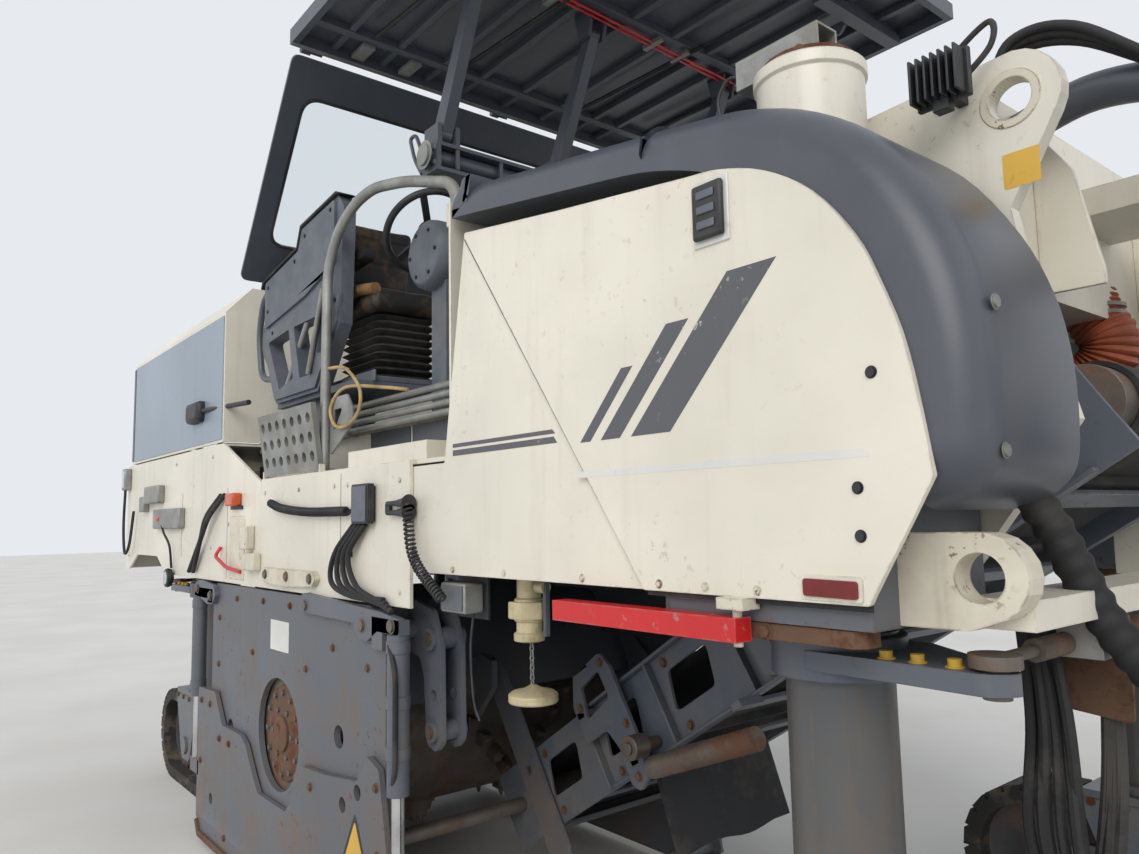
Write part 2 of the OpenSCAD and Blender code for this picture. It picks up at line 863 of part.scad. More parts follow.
module edge_cylinders(y) {
    color(pale_blue)
        place() {
            for (x = [-1140, 1100])
                difference() {
                    translate([x, y, 700])
                        cylinder(r = cyl_r - 4, h = 520);
                    translate([x, y, 699])
                        cylinder(r = rod_r + clear, h = 470);
                }
        }
    color(slate)
        place() {
            span_box([-1180, house_rear], [y - 20, y + 20], [1220, 1270]);
            span_box([house_front, 1140], [y - 20, y + 20], [1220, 1270]);
        }
}

module edge_cylinders_right() {
    edge_cylinders(-half_w - 5);
    color(slate)
        place() {
            span_box([house_rear - 20, house_rear + 60], [-half_w - 25, -half_w], [1200, 1270]);
            span_box([house_front - 60, house_front + 20], [-half_w - 25, -half_w], [1160, 1270]);
        }
}

module edge_cylinders_left() {
    edge_cylinders(house_left + 5);
    color(slate)
        place() {
            span_box([house_rear - 20, house_rear + 60], [house_left, house_left + 25], [1200, 1270]);
            span_box([house_front - 60, house_front + 20], [house_left, house_left + 25], [1160, 1270]);
        }
}

// Scraper blade behind the drum, with its rods, and the barrels it hangs from
scraper_ys = [-950, -20];
module scraper_blade() {
    color(slate)
        place() {
            span_box([scraper_x, scraper_x + 25], [house_right + plate_t + 6, house_left - plate_t - 6],
                [60, 760]);
            span_box([scraper_x - 30, scraper_x], [house_right + plate_t + 6, house_left - plate_t - 6],
                [60, 130]);
            for (y = scraper_ys) {
                span_box([scraper_x - 80, scraper_x], [y - 40, y + 40], [200, 260]);
                translate([scraper_x - 45, y, 259])
                    cylinder(r = rod_r, h = 590);
            }
        }
}

module scraper_cylinders() {
    color(pale_blue)
        place()
            for (y = scraper_ys) {
                difference() {
                    translate([scraper_x - 45, y, 800])
                        cylinder(r = cyl_r - 8, h = 560);
                    translate([scraper_x - 45, y, 799])
                        cylinder(r = rod_r + clear, h = 400);
                }
                span_box([scraper_x - 79, scraper_x - 11], [y - 34, y + 34], [1300, 1690]);
            }
}

// First conveyor, from the drum up to the tower
module on_first() {
    place()
        translate([first_x, conv_y, first_z])
            rotate([0, -first_rise, 0])
                children();
}

module belt_loop(length, r, cleats, w) {
    upright(-w / 2, w)
        difference() {
            union() {
                circle(r = r + belt_t);
                translate([length, 0])
                    circle(r = r + belt_t);
                translate([0, -r - belt_t])
                    square([length, 2 * r + 2 * belt_t]);
            }
            circle(r = r);
            translate([length, 0])
                circle(r = r);
            translate([0, -r])
                square([length, 2 * r]);
        }
    for (i = [0:cleats - 1])
        translate([(i + 0.5) * length / cleats, 0, 0]) {
            span_box([-8, 8], [-w / 2 + 40, w / 2 - 40], [r + belt_t - 1, r + belt_t + cleat_h]);
            span_box([-8, 8], [-w / 2 + 40, w / 2 - 40], [-r - belt_t - cleat_h, -r - belt_t + 1]);
        }
}

module first_frame() {
    color(slate)
        on_first() {
            for (s = [-1, 1])
                upright(s > 0 ? frame_half - frame_t : -frame_half, frame_t)
                    difference() {
                        translate([-60, -frame_h / 2])
                            square([first_len + 100, frame_h]);
                        for (i = [0:5])
                            translate([260 + i * 400, -10])
                                square([220, 110]);
                    }
            for (i = [0:6])
                span_box([150 + i * 380, 210 + i * 380], [-frame_half + frame_t, frame_half - frame_t],
                    [-frame_h / 2, -frame_h / 2 + 14]);
            for (x = [0, first_len])
                cross_cyl(x, 0, -frame_half + frame_t, frame_half - frame_t, roll_r - clear);
            for (s = [-1, 1])
                span_box([2350, 2440], s > 0 ? [frame_half, tower_in] : [-tower_in, -frame_half],
                    [-30, 60]);
            cross_cyl(50, 0, house_right + plate_t - conv_y, -frame_half + 1, 28);
            cross_cyl(50, 0, frame_half - 1, house_left - plate_t - conv_y, 28);
        }
}

module first_belt() {
    color(black)
        on_first()
            belt_loop(first_len, roll_r, 9, belt_w);
}

// Hold-down in front of the drum: two arms and a shoe under the first conveyor
hold_pin = [640, 960];
hold_in = frame_half + 13;
hold_t = 14;
module hold_down() {
    color(slate)
        place() {
            for (y = [conv_y - hold_in - hold_t, conv_y + hold_in])
                upright(y, hold_t)
                    difference() {
                        polygon([[600, 900], [575, 980], [640, 1020], [720, 960], [1120, 380],
                            [1160, 160], [1060, 120],
                            [1000, 330]]);
                        translate(hold_pin)
                            circle(r = pin_r + clear);
                        translate([880, 600])
                            circle(r = 20);
                    }
            span_box([1010, 1160], [conv_y - hold_in - hold_t, conv_y + hold_in + hold_t], [110, 150]);
            cross_cyl(1090, 172, conv_y - hold_in, conv_y + hold_in, 30);
        }
}

// Slewing bracket: pins, bottom and top plates, cheeks and the luffing cylinders' ears
cheek_in = frame_half + 20;
cheek_t = 30;
module slew_bracket() {
    color(cream)
        place()
            translate([slew_x, conv_y, 0]) {
                difference() {
                    for (s = [-1, 1])
                        upright(s > 0 ? cheek_in : -cheek_in - cheek_t, cheek_t)
                            polygon([[-40, slew_low + 5], [160, slew_low + 5], [160, 1850], [120, 2240],
                                [-40, 2320]]);
                    cross_cyl(luff_dx, luff_z, -600, 600, 40 + clear);
                }
                span_box([-40, 160], [-cheek_in - cheek_t, cheek_in + cheek_t],
                    [slew_low + 5, slew_low + 25]);
                span_box([-60, 120], [-cheek_in - cheek_t, cheek_in + cheek_t], [2300, 2325]);
                translate([0, 0, slew_low - bearing_t - 20])
                    cylinder(r = 45, h = bearing_t + 30);
                translate([0, 0, 2310])
                    cylinder(r = 45, h = bearing_t + 60);
                for (s = [-1, 1])
                    span_box([-40, 120], s > 0 ? [cheek_in + cheek_t,
                        cheek_in + cheek_t + 20] : [-cheek_in - cheek_t - 20, -cheek_in - cheek_t],
                        [2200, 2420]);
                for (s = [-1, 1])
                    cross_cyl(luff_dx, luff_pin[1], s > 0 ? cheek_in + cheek_t : -luff_off - 20,
                        s > 0 ? luff_off + 20 : -cheek_in - cheek_t, luff_pin_r);
            }
}

// Discharge conveyor, hinged at luff_z and raised by out_rise
out_tail = 230;
module on_out() {
    place()
        translate([slew_x + luff_dx, conv_y, luff_z])
            rotate([0, -out_rise, 0])
                children();
}

module out_frame() {
    color(slate)
        on_out() {
            for (s = [-1, 1])
                upright(s > 0 ? frame_half - frame_t : -frame_half, frame_t)
                    difference() {
                        polygon([[-out_tail, -150], [out_len + 100, -130], [out_len + 130, 60],
                            [out_len, 130],
                            [-100, 150], [-out_tail, 60]]);
                        for (i = [0:13])
                            translate([360 + i * 430, -20])
                                square([260, 90]);
                    }
            for (s = [-1, 1])
                span_box([0, out_len], s > 0 ? [frame_half, frame_half + 8] : [-frame_half - 8,
                    -frame_half], [120, 132]);
            for (i = [0:15])
                span_box([200 + i * 400, 250 + i * 400], [-frame_half + frame_t, frame_half - frame_t],
                    [-128, -118]);
            for (x = [-100, out_len])
                cross_cyl(x, 0, -frame_half + frame_t, frame_half - frame_t, roll_r - 10 - clear);
            for (s = [-1, 1]) {
                cross_cyl(0, 0, s > 0 ? frame_half - 1 : -cheek_in - cheek_t + 4,
                    s > 0 ? cheek_in + cheek_t - 4 : -frame_half + 1, 40);
                cross_cyl(luff_at, 60, s > 0 ? frame_half - 1 : -luff_off + 28,
                    s > 0 ? luff_off - 28 : -frame_half + 1, 22);
            }
        }
}

module out_belt() {
    color(black)
        on_out()
            translate([-100, 0, 0])
                belt_loop(out_len + 100, roll_r - 10, 15, belt_w);
}

// Luffing cylinders, opened at the rods' eyes
luff_pin = [slew_x + 60, 2370];
luff_at = 1900;
luff_pin_r = 16;
luff_off = cheek_in + cheek_t + 66;
function out_point(s, h) = [slew_x + luff_dx + s * cos(out_rise) - h * sin(out_rise),
    luff_z + s * sin(out_rise) + h * cos(out_rise)];
luff_end = out_point(luff_at, 60);
luff_run = norm(luff_end - luff_pin);
luff_dir = (luff_end - luff_pin) / luff_run;

module luff_barrels() {
    color(slate)
        place()
            for (s = [-1, 1]) {
                y = conv_y + s * luff_off;
                difference() {
                    union() {
                        rod([luff_pin[0], y, luff_pin[1]] + 30 * [luff_dir[0], 0, luff_dir[1]],
                            [luff_pin[0], y, luff_pin[1]] + 1150 * [luff_dir[0], 0, luff_dir[1]], 40);
                        cross_cyl(luff_pin[0], luff_pin[1], y - 20, y + 20, 42);
                    }
                    cross_cyl(luff_pin[0], luff_pin[1], y - 21, y + 21, luff_pin_r + clear);
                    rod([luff_pin[0], y, luff_pin[1]] + 200 * [luff_dir[0], 0, luff_dir[1]],
                        [luff_pin[0], y, luff_pin[1]] + 1160 * [luff_dir[0], 0, luff_dir[1]], 22 + clear);
                }
            }
}

module luff_rods() {
    color(steel)
        place()
            for (s = [-1, 1]) {
                y = conv_y + s * luff_off;
                rod([luff_pin[0], y, luff_pin[1]] + 700 * [luff_dir[0], 0, luff_dir[1]],
                    [luff_pin[0], y, luff_pin[1]] + (luff_run - 20) * [luff_dir[0], 0, luff_dir[1]], 22);
                cross_cyl(luff_end[0], luff_end[1], y - 20, y + 20, 35);
            }
}

// Canopy: parallel lifting arms, roof and rear screen
lift_base = [beam_x, beam_z + pivot_up];
lift_end = lift_base + lift_arm * [sin(lift_lean), cos(lift_lean)];

module lift_arms() {
    color(slate)
        place()
            for (y = arm_ys)
                upright(y - 25, 50)
                    difference() {
                        union() {
                            polygon([lift_base + [-40, 0], lift_base + [40, -8], lift_end + [26, -4],
                                lift_end + [-26, 4]]);
                            translate(lift_base)
                                circle(r = 42);
                            translate(lift_end)
                                circle(r = 27);
                        }
                        translate(lift_base)
                            circle(r = pivot_r + clear);
                        translate(lift_end)
                            circle(r = roof_pin_r + clear);
                    }
}

module roof() {
    color(slate)
        place() {
            difference() {
                span_box([roof_x0, roof_x0 + roof_len], [-roof_right, roof_left],
                    [roof_z, roof_z + roof_t]);
                span_box([roof_x0 + 30, roof_x0 + roof_len - 30], [-roof_right + 30, roof_left - 30],
                    [roof_z - 1, roof_z + roof_t - 15]);
            }
            for (y = arm_ys) {
                for (e = [-48, 32])
                    upright(y + e, 16)
                        polygon([lift_end + [-30, -30], lift_end + [30, -30],
                            [lift_end[0] + 60, roof_z + roof_t - 10],
                            [lift_end[0] - 60, roof_z + roof_t - 10]]);
                cross_cyl(lift_end[0], lift_end[1], y - 48, y + 48, roof_pin_r);
            }
            for (y = screen_hinges) {
                cross_cyl(screen_pin[0], screen_pin[1], y, y + 100, 8);
                cross_cyl(screen_pin[0], screen_pin[1], y, y + 44, 16);
                span_box([screen_pin[0], roof_x0 + 30], [y, y + 44],
                    [screen_pin[1] - 8, screen_pin[1] + 8]);
            }
        }
}

module rear_screen() {
    wide = roof_left + roof_right - 60;
    color(slate)
        place()
            translate([screen_pin[0], 0, screen_pin[1]])
                rotate([0, screen_lean, 0]) {
                    difference() {
                        translate([-8, 30 - roof_right, -screen_len])
                            cube([15, wide, screen_len - 25]);
                        translate([-10, 120 - roof_right, 240 - screen_len])
                            cube([20, wide - 180, 640]);
                    }
                    for (y = screen_hinges)
                        difference() {
                            union() {
                                cross_cyl(0, 0, y + 50, y + 98, 16);
                                span_box([-7, 6], [y + 50, y + 98], [-26, 0]);
                            }
                            cross_cyl(0, 0, y + 49, y + 99, 8 + clear);
                        }
                }
}

// Fittings
module control_boxes() {
    color(zinc)
        place() {
            span_box([-rear_len + 60, -rear_len + 260], [-half_w - 20, -half_w], [1880, 2010]);
            span_box([-2650, -2300], [-half_w - 20, -half_w], [1720, 1840]);
            span_box([1330, 1440], [-half_w + skin_t, -half_w + 90], [1310, skirt_z]);
        }
}

module lamps() {
    color(black)
        place() {
            span_box([560, 700], [-half_w - 22, -half_w], [1600, 1740]);
            span_box([2330, 2400], [-half_w - 14, -half_w], [2080, 2260]);
            span_box([2860, 2950], [-880, conv_y - tower_half - tower_t / 2], [2480, 2590]);
        }
}

module hoses() {
    color(black)
        place()
            {
                bent_tube([[700, -1268, 1500], [820, -1270, 1400], [900, -1268, 1330]], 16);
                span_box([690, 730], [-1286, -half_w], [1470, 1490]);
            }
}

module water_valve() {
    color(brass)
        place() {
            translate([1660, -1120, 1240])
                cylinder(r = 40, h = 210);
            translate([1660, -1120, 1300])
                cylinder(r = 58, h = 60, $fn = 8);
        }
}

module folding_step() {
    color(zinc)
        place()
            difference() {
                translate(step_pin)
                    rotate([8, 0, 0])
                        difference() {
                            translate([0, -11, -11])
                                cube([step_len, 22, 280]);
                            for (i = [0:6], k = [0:2])
                                translate([50 + i * 87, -12, 50 + k * 80])
                                    rotate([-90, 0, 0])
                                        cylinder(r = 22, h = 30);
                        }
                translate(step_pin - [1, 0, 0])
                    rotate([0, 90, 0])
                        cylinder(r = 8 + clear, h = 32);
                translate(step_pin + [step_len - 31, 0, 0])
                    rotate([0, 90, 0])
                        cylinder(r = 8 + clear, h = 32);
            }
}

module guide_bar() {
    color(red)
        place()
            difference() {
                span_box([1980, bar_pin[0] + 14], [-half_w - 30, -half_w + 20], [1340, 1390]);
                translate([bar_pin[0], bar_pin[1], 1330])
                    cylinder(r = 10 + clear, h = 80);
            }
}

main_frame();
engine_block();
rear_body();
mid_body();
side_panels();
mid_panels();
front_covers();
leg_stubs();
conveyor_tower();
lashing_plates();
engine_hood();
hood_sides();
hood_grille();
platform_floor();
cross_beam();
handrails();
seat_consoles();
seat_cushions();
seat_bellows();
steering_console();
steering_wheel();
drum_housing();
drum_drive();
edge_cylinders_right();
edge_cylinders_left();
scraper_cylinders();
first_frame();
first_belt();
control_boxes();
lamps();
hoses();
water_valve();
leg(front_leg_x, -leg_y, leg_tops[0], front_arm_z, 1);  // leg_front_right
track(front_leg_x, -leg_y);  // track_front_right
leg(front_leg_x, leg_y, leg_tops[0], front_arm_z, 1);  // leg_front_left
track(front_leg_x, leg_y);  // track_front_left
leg(rear_leg_x, -leg_y, leg_tops[1], rear_arm_z, -1);  // leg_rear_right
track(rear_leg_x, -leg_y);  // track_rear_right
leg(rear_leg_x, leg_y, leg_tops[1], rear_arm_z, -1);  // leg_rear_left
track(rear_leg_x, leg_y);  // track_rear_left
tie_rod(front_leg_x, front_arm_z, 1);  // tie_rod_front
tie_rod(rear_leg_x, rear_arm_z, -1);  // tie_rod_rear
milling_drum();
edge_plate_right();
edge_plate_left();
scraper_blade();
hold_down();
lift_arms();
roof();
rear_screen();
slew_bracket();
out_frame();
out_belt();
luff_barrels();
luff_rods();
folding_step();
guide_bar();
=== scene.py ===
"""Looks of a compact cold planer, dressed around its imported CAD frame."""
import logging
import math
from collections.abc import Callable
from dataclasses import dataclass
from enum import Enum
from functools import cache

import bmesh
import bpy
from mathutils import Matrix, Vector
from mathutils.geometry import tessellate_polygon


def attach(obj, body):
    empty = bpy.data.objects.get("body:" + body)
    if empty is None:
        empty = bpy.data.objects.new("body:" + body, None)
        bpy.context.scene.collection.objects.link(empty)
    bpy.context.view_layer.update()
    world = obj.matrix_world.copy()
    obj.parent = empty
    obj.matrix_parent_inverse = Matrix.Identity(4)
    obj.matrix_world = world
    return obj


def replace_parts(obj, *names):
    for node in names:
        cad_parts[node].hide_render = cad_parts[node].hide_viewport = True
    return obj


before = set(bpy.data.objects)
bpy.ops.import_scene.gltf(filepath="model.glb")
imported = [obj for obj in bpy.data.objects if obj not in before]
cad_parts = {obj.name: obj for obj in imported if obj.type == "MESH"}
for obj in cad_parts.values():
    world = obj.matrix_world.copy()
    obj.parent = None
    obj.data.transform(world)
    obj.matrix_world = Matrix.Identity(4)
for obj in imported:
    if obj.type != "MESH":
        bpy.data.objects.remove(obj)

LOG = logging.getLogger("cold_planer")
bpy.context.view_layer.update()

# Places in millimetres, lengths from the drum's axis and sides from the middle of the body: the shared frame's
# offsets, the first conveyor's middle, the outer skin and the leg columns; then the angle under which faces shade
# as one
X_SHIFT = -3522.4146
Y_SHIFT = 25.0
CONV_Y = -150.0
SKIN_Y = 1250.0
FRONT_LEG_X = 2600.0
REAR_LEG_X = -1900.0
LEG_Y = 950.0
LEG_RADIUS = 118.0
SMOOTH_UNDER = math.radians(40)

Point = tuple[float, float, float]
Colour = tuple[float, float, float]
Pair = tuple[float, float]
Outline = list[Pair]
Spots = list[tuple[Point, Point]]
Placing = Callable[[float, float, float], Vector]

SIDES = (("right", -1), ("left", 1))
RIGHT = (0.0, -1.0, 0.0)
FRONT = (1.0, 0.0, 0.0)
UP = (0.0, 0.0, 1.0)


def span(a: float, b: float) -> Pair:
    """Returns two bounds in rising order."""
    return min(a, b), max(a, b)


def at(x: float, y: float, z: float) -> Vector:
    """Returns a point of the shared frame, in metres, from millimetres counted from the drum's axis."""
    return Vector(((x + X_SHIFT) / 1000, (y + Y_SHIFT) / 1000, z / 1000))


def srgb(red: int, green: int, blue: int) -> Colour:
    """Returns the linear colour of an 8-bit display colour."""
    def one(v: float) -> float:
        """Returns one linear channel."""
        v /= 255
        return v / 12.92 if v <= 0.04045 else ((v + 0.055) / 1.055) ** 2.4
    return one(red), one(green), one(blue)


# Node trees


class Graph:
    """Shorthand for filling a shader or geometry node tree."""

    def __init__(self, tree: bpy.types.NodeTree) -> None:
        """Keeps the tree that the nodes go into."""
        self.tree = tree

    def node(self, kind: str, values: dict | None = None, **settings: object) -> bpy.types.Node:
        """Adds a node.

        Args:
            kind: the node's type name.
            values: input name or index to a value, or to the output socket that feeds it.
            settings: attributes of the node itself.

        Returns:
            The new node.
        """
        made = self.tree.nodes.new(kind)
        for key, value in settings.items():
            setattr(made, key, value)
        self.feed(made, values or {})
        return made

    def feed(self, node: bpy.types.Node, values: dict) -> None:
        """Sets the inputs of a node to values, or to the output sockets that feed them."""
        for key, value in values.items():
            if isinstance(value, bpy.types.NodeSocket):
                self.tree.links.new(value, node.inputs[key])
            else:
                node.inputs[key].default_value = value

    def math(self, operation: str, a: object, b: object = 0.0, clamp: bool = False) -> bpy.types.NodeSocket:
        """Returns the output of a math node on two values or sockets."""
        kind = "ShaderNodeMath"
        return self.node(kind, {0: a, 1: b}, operation=operation, use_clamp=clamp).outputs[0]

    def noise(self, vector: object, scale: float, detail: float = 4, rough: float = 0.5) -> bpy.types.NodeSocket:
        """Returns a noise value read at a vector."""
        values = {"Vector": vector, "Scale": scale, "Detail": detail, "Roughness": rough}
        return self.node("ShaderNodeTexNoise", values).outputs[0]

    def step(self, value: object, low: float, high: float, start: float = 0, end: float = 1) -> bpy.types.NodeSocket:
        """Returns a value mapped smoothly from one span to another."""
        values = {0: value, 1: low, 2: high, 3: start, 4: end}
        return self.node("ShaderNodeMapRange", values, interpolation_type="SMOOTHSTEP").outputs[0]

    def mix(self, share: object, first: object, second: object) -> bpy.types.NodeSocket:
        """Returns a colour mixed from two."""
        values = {0: share, 6: rgba(first), 7: rgba(second)}
        return self.node("ShaderNodeMix", values, data_type="RGBA").outputs[2]


def rgba(value: object) -> object:
    """Returns a colour with its fourth channel, or a socket as it is."""
    return (*value, 1.0) if isinstance(value, tuple) and len(value) == 3 else value


def new_group(name: str, inputs: dict[str, tuple[str, object]], outputs: dict[str, str]) -> tuple:
    """Makes an empty shader node group.

    Args:
        name: the group's name.
        inputs: socket name to its kind (Float, Color, Vector) and default.
        outputs: socket name to its kind.

    Returns:
        The group, its graph, its input node and its output node.
    """
    tree = bpy.data.node_groups.new(name, "ShaderNodeTree")
    for key, (kind, default) in inputs.items():
        made = tree.interface.new_socket(name=key, in_out="INPUT", socket_type=f"NodeSocket{kind}")
        if default is not None:
            made.default_value = default
    for key, kind in outputs.items():
        tree.interface.new_socket(name=key, in_out="OUTPUT", socket_type=f"NodeSocket{kind}")
    graph = Graph(tree)
    return tree, graph, graph.node("NodeGroupInput"), graph.node("NodeGroupOutput")


class Effects:
    """The shader groups that several finishes share, each built once."""

    @staticmethod
    @cache
    def weathering() -> bpy.types.NodeTree:
        """Returns the group that ages a paint: tone, streaks, dust from below, chips and worn edges."""
        inputs = {
            "Vector": ("Vector", None), "Paint": ("Color", (0.8, 0.8, 0.8, 1)),
            "Dust": ("Color", (0.3, 0.27, 0.22, 1)), "Bare": ("Color", (0.12, 0.05, 0.025, 1)),
            "Dust share": ("Float", 0.4), "Dust height": ("Float", 1.2),
            "Chips": ("Float", 0.3), "Edges": ("Float", 0.4), "Streaks": ("Float", 0.3),
        }
        outputs = {"Color": "Color", "Worn": "Float", "Dusty": "Float", "Height": "Float"}
        tree, g, given, out = new_group("weathering", inputs, outputs)
        vector = given.outputs["Vector"]
        tone = g.step(g.noise(vector, 1.1, 3), 0.3, 0.7, 0.90, 1.06)
        paint = g.node("ShaderNodeVectorMath", {0: given.outputs["Paint"], 3: tone}, operation="SCALE").outputs[0]
        # long stains that run down
        squeezed = g.node("ShaderNodeMapping", {"Vector": vector, "Scale": (9.0, 9.0, 0.7)}).outputs[0]
        runs = g.step(g.noise(squeezed, 1.6, 6, 0.6), 0.50, 0.74)
        runs = g.math("MULTIPLY", runs, given.outputs["Streaks"])
        # dust that thickens towards the ground
        height = g.node("ShaderNodeSeparateXYZ", {0: vector}).outputs[2]
        low = g.math("SUBTRACT", 1.0, g.math("DIVIDE", height, given.outputs["Dust height"]), True)
        cloud = g.step(g.noise(vector, 5.0, 7, 0.62), 0.34, 0.70)
        dusty = g.math("MULTIPLY", g.math("ADD", low, 0.22), cloud)
        dusty = g.math("MULTIPLY", dusty, given.outputs["Dust share"])
        dusty = g.math("ADD", dusty, runs, True)
        # chips and rubbed edges
        patches = g.step(g.noise(vector, 2.3, 3), 0.42, 0.66)
        chips = g.step(g.noise(vector, 34.0, 8, 0.66), 0.61, 0.64)
        chips = g.math("MULTIPLY", g.math("MULTIPLY", chips, patches), given.outputs["Chips"])
        rounded = g.node("ShaderNodeBevel", {"Radius": 0.006}, samples=3).outputs[0]
        flat = g.node("ShaderNodeNewGeometry").outputs["Normal"]
        turned = g.node("ShaderNodeVectorMath", {0: rounded, 1: flat}, operation="DOT_PRODUCT").outputs["Value"]
        edge = g.step(turned, 0.985, 0.90)
        edge = g.math("MULTIPLY", edge, g.step(g.noise(vector, 16.0, 6, 0.7), 0.42, 0.62))
        edge = g.math("MULTIPLY", edge, given.outputs["Edges"])
        worn = g.math("MAXIMUM", chips, edge, True)
        colour = g.mix(dusty, paint, given.outputs["Dust"])
        colour = g.mix(worn, colour, given.outputs["Bare"])
        grain = g.noise(vector, 160.0, 3)
        high = g.math("SUBTRACT", g.math("MULTIPLY", grain, 0.15), g.math("MULTIPLY", worn, 0.8))
        g.feed(out, {"Color": colour, "Worn": worn, "Dusty": dusty, "Height": high})
        return tree

    @staticmethod
    @cache
    def scuffing() -> bpy.types.NodeTree:
        """Returns the group for bare metal and moulded black parts: mottling, fine scratches and dust."""
        inputs = {
            "Vector": ("Vector", None), "Base": ("Color", (0.3, 0.3, 0.3, 1)),
            "Stain": ("Color", (0.2, 0.1, 0.05, 1)), "Stains": ("Float", 0.3),
            "Stain size": ("Float", 4.0), "Scratches": ("Float", 0.3),
        }
        tree, g, given, out = new_group("scuffing", inputs, {"Color": "Color", "Mask": "Float", "Height": "Float"})
        vector = given.outputs["Vector"]
        tone = g.step(g.noise(vector, 9.0, 5), 0.3, 0.7, 0.82, 1.15)
        base = g.node("ShaderNodeVectorMath", {0: given.outputs["Base"], 3: tone}, operation="SCALE").outputs[0]
        cloud = g.node("ShaderNodeTexNoise", {"Vector": vector, "Scale": given.outputs["Stain size"],
                                              "Detail": 8, "Roughness": 0.68}).outputs[0]
        stain = g.math("MULTIPLY", g.step(cloud, 0.48, 0.62), given.outputs["Stains"])
        stretched = g.node("ShaderNodeMapping", {"Vector": vector, "Scale": (3.0, 3.0, 90.0)}).outputs[0]
        lines = g.step(g.noise(stretched, 3.0, 5, 0.7), 0.60, 0.66)
        lines = g.math("MULTIPLY", lines, given.outputs["Scratches"])
        colour = g.mix(stain, base, given.outputs["Stain"])
        light = g.node("ShaderNodeVectorMath", {0: base, 3: 1.7}, operation="SCALE").outputs[0]
        colour = g.mix(lines, colour, light)
        high = g.math("ADD", g.math("MULTIPLY", stain, -0.5), g.math("MULTIPLY", g.noise(vector, 120.0, 4), 0.4))
        g.feed(out, {"Color": colour, "Mask": stain, "Height": high})
        return tree


def blank_material(name: str) -> tuple[bpy.types.Material, Graph, bpy.types.Node]:
    """Makes a material with only its Principled shader.

    Args:
        name: the material's name.

    Returns:
        The material, its graph and the shader node.
    """
    made = bpy.data.materials.new(name)
    made.use_nodes = True
    return made, Graph(made.node_tree), made.node_tree.nodes["Principled BSDF"]


@dataclass(frozen=True)
class Paint:
    """A sprayed paint on sheet or plate, aged by weather and work."""

    name: str
    colour: Colour
    rough: float = 0.38
    dust: float = 0.35
    dust_height: float = 1.4
    chips: float = 0.25
    edges: float = 0.4
    streaks: float = 0.12
    dust_colour: Colour = srgb(134, 122, 104)
    bare_colour: Colour = srgb(92, 56, 36)
    coat: float = 0.15
    slot: str = ""

    def material(self) -> bpy.types.Material:
        """Returns the paint as a material."""
        made, g, shader = blank_material(self.name)
        vector = g.node("ShaderNodeTexCoord").outputs["Object"]
        values = {"Vector": vector, "Paint": rgba(self.colour), "Dust": rgba(self.dust_colour),
                  "Bare": rgba(self.bare_colour), "Dust share": self.dust, "Dust height": self.dust_height,
                  "Chips": self.chips, "Edges": self.edges, "Streaks": self.streaks}
        age = g.node("ShaderNodeGroup", values, node_tree=Effects.weathering())
        dull = g.math("ADD", age.outputs["Worn"], age.outputs["Dusty"], True)
        rough = g.step(dull, 0.0, 1.0, self.rough, 0.86)
        bump = g.node("ShaderNodeBump", {"Height": age.outputs["Height"], "Distance": 0.0008, "Strength": 0.6})
        g.feed(shader, {"Base Color": age.outputs["Color"], "Roughness": rough, "Normal": bump.outputs[0],
                        "Coat Weight": self.coat, "Coat Roughness": 0.25})
        return made


@dataclass(frozen=True)
class Surface:
    """Bare metal, rubber or moulded plastic with stains and fine scratches."""

    name: str
    colour: Colour
    rough: float = 0.5
    metal: float = 0.0
    stain: Colour = srgb(112, 74, 50)
    stains: float = 0.3
    stain_size: float = 4.0
    scratches: float = 0.25
    bump: float = 0.0006
    slot: str = ""

    def material(self) -> bpy.types.Material:
        """Returns the surface as a material."""
        made, g, shader = blank_material(self.name)
        vector = g.node("ShaderNodeTexCoord").outputs["Object"]
        values = {"Vector": vector, "Base": rgba(self.colour), "Stain": rgba(self.stain), "Stains": self.stains,
                  "Stain size": self.stain_size, "Scratches": self.scratches}
        scuff = g.node("ShaderNodeGroup", values, node_tree=Effects.scuffing())
        mask, height = scuff.outputs["Mask"], scuff.outputs["Height"]
        rough = g.step(mask, 0.0, 1.0, self.rough, min(1.0, self.rough + 0.3))
        if self.metal:
            g.feed(shader, {"Metallic": g.step(mask, 0.0, 0.9, self.metal, 0.0)})
        bump = g.node("ShaderNodeBump", {"Height": height, "Distance": self.bump, "Strength": 0.7})
        g.feed(shader, {"Base Color": scuff.outputs["Color"], "Roughness": rough, "Normal": bump.outputs[0]})
        return made


@dataclass(frozen=True)
class Glass:
    """Clear or tinted glass, for lenses and the screen's window."""

    name: str
    colour: Colour
    rough: float = 0.03
    slot: str = ""

    def material(self) -> bpy.types.Material:
        """Returns the glass as a material."""
        made, g, shader = blank_material(self.name)
        vector = g.node("ShaderNodeTexCoord").outputs["Object"]
        smear = g.step(g.noise(vector, 6.0, 5, 0.6), 0.45, 0.75, self.rough, self.rough + 0.12)
        g.feed(shader, {"Roughness": smear, "Base Color": rgba(self.colour), "Transmission Weight": 1.0,
                        "IOR": 1.2})
        return made


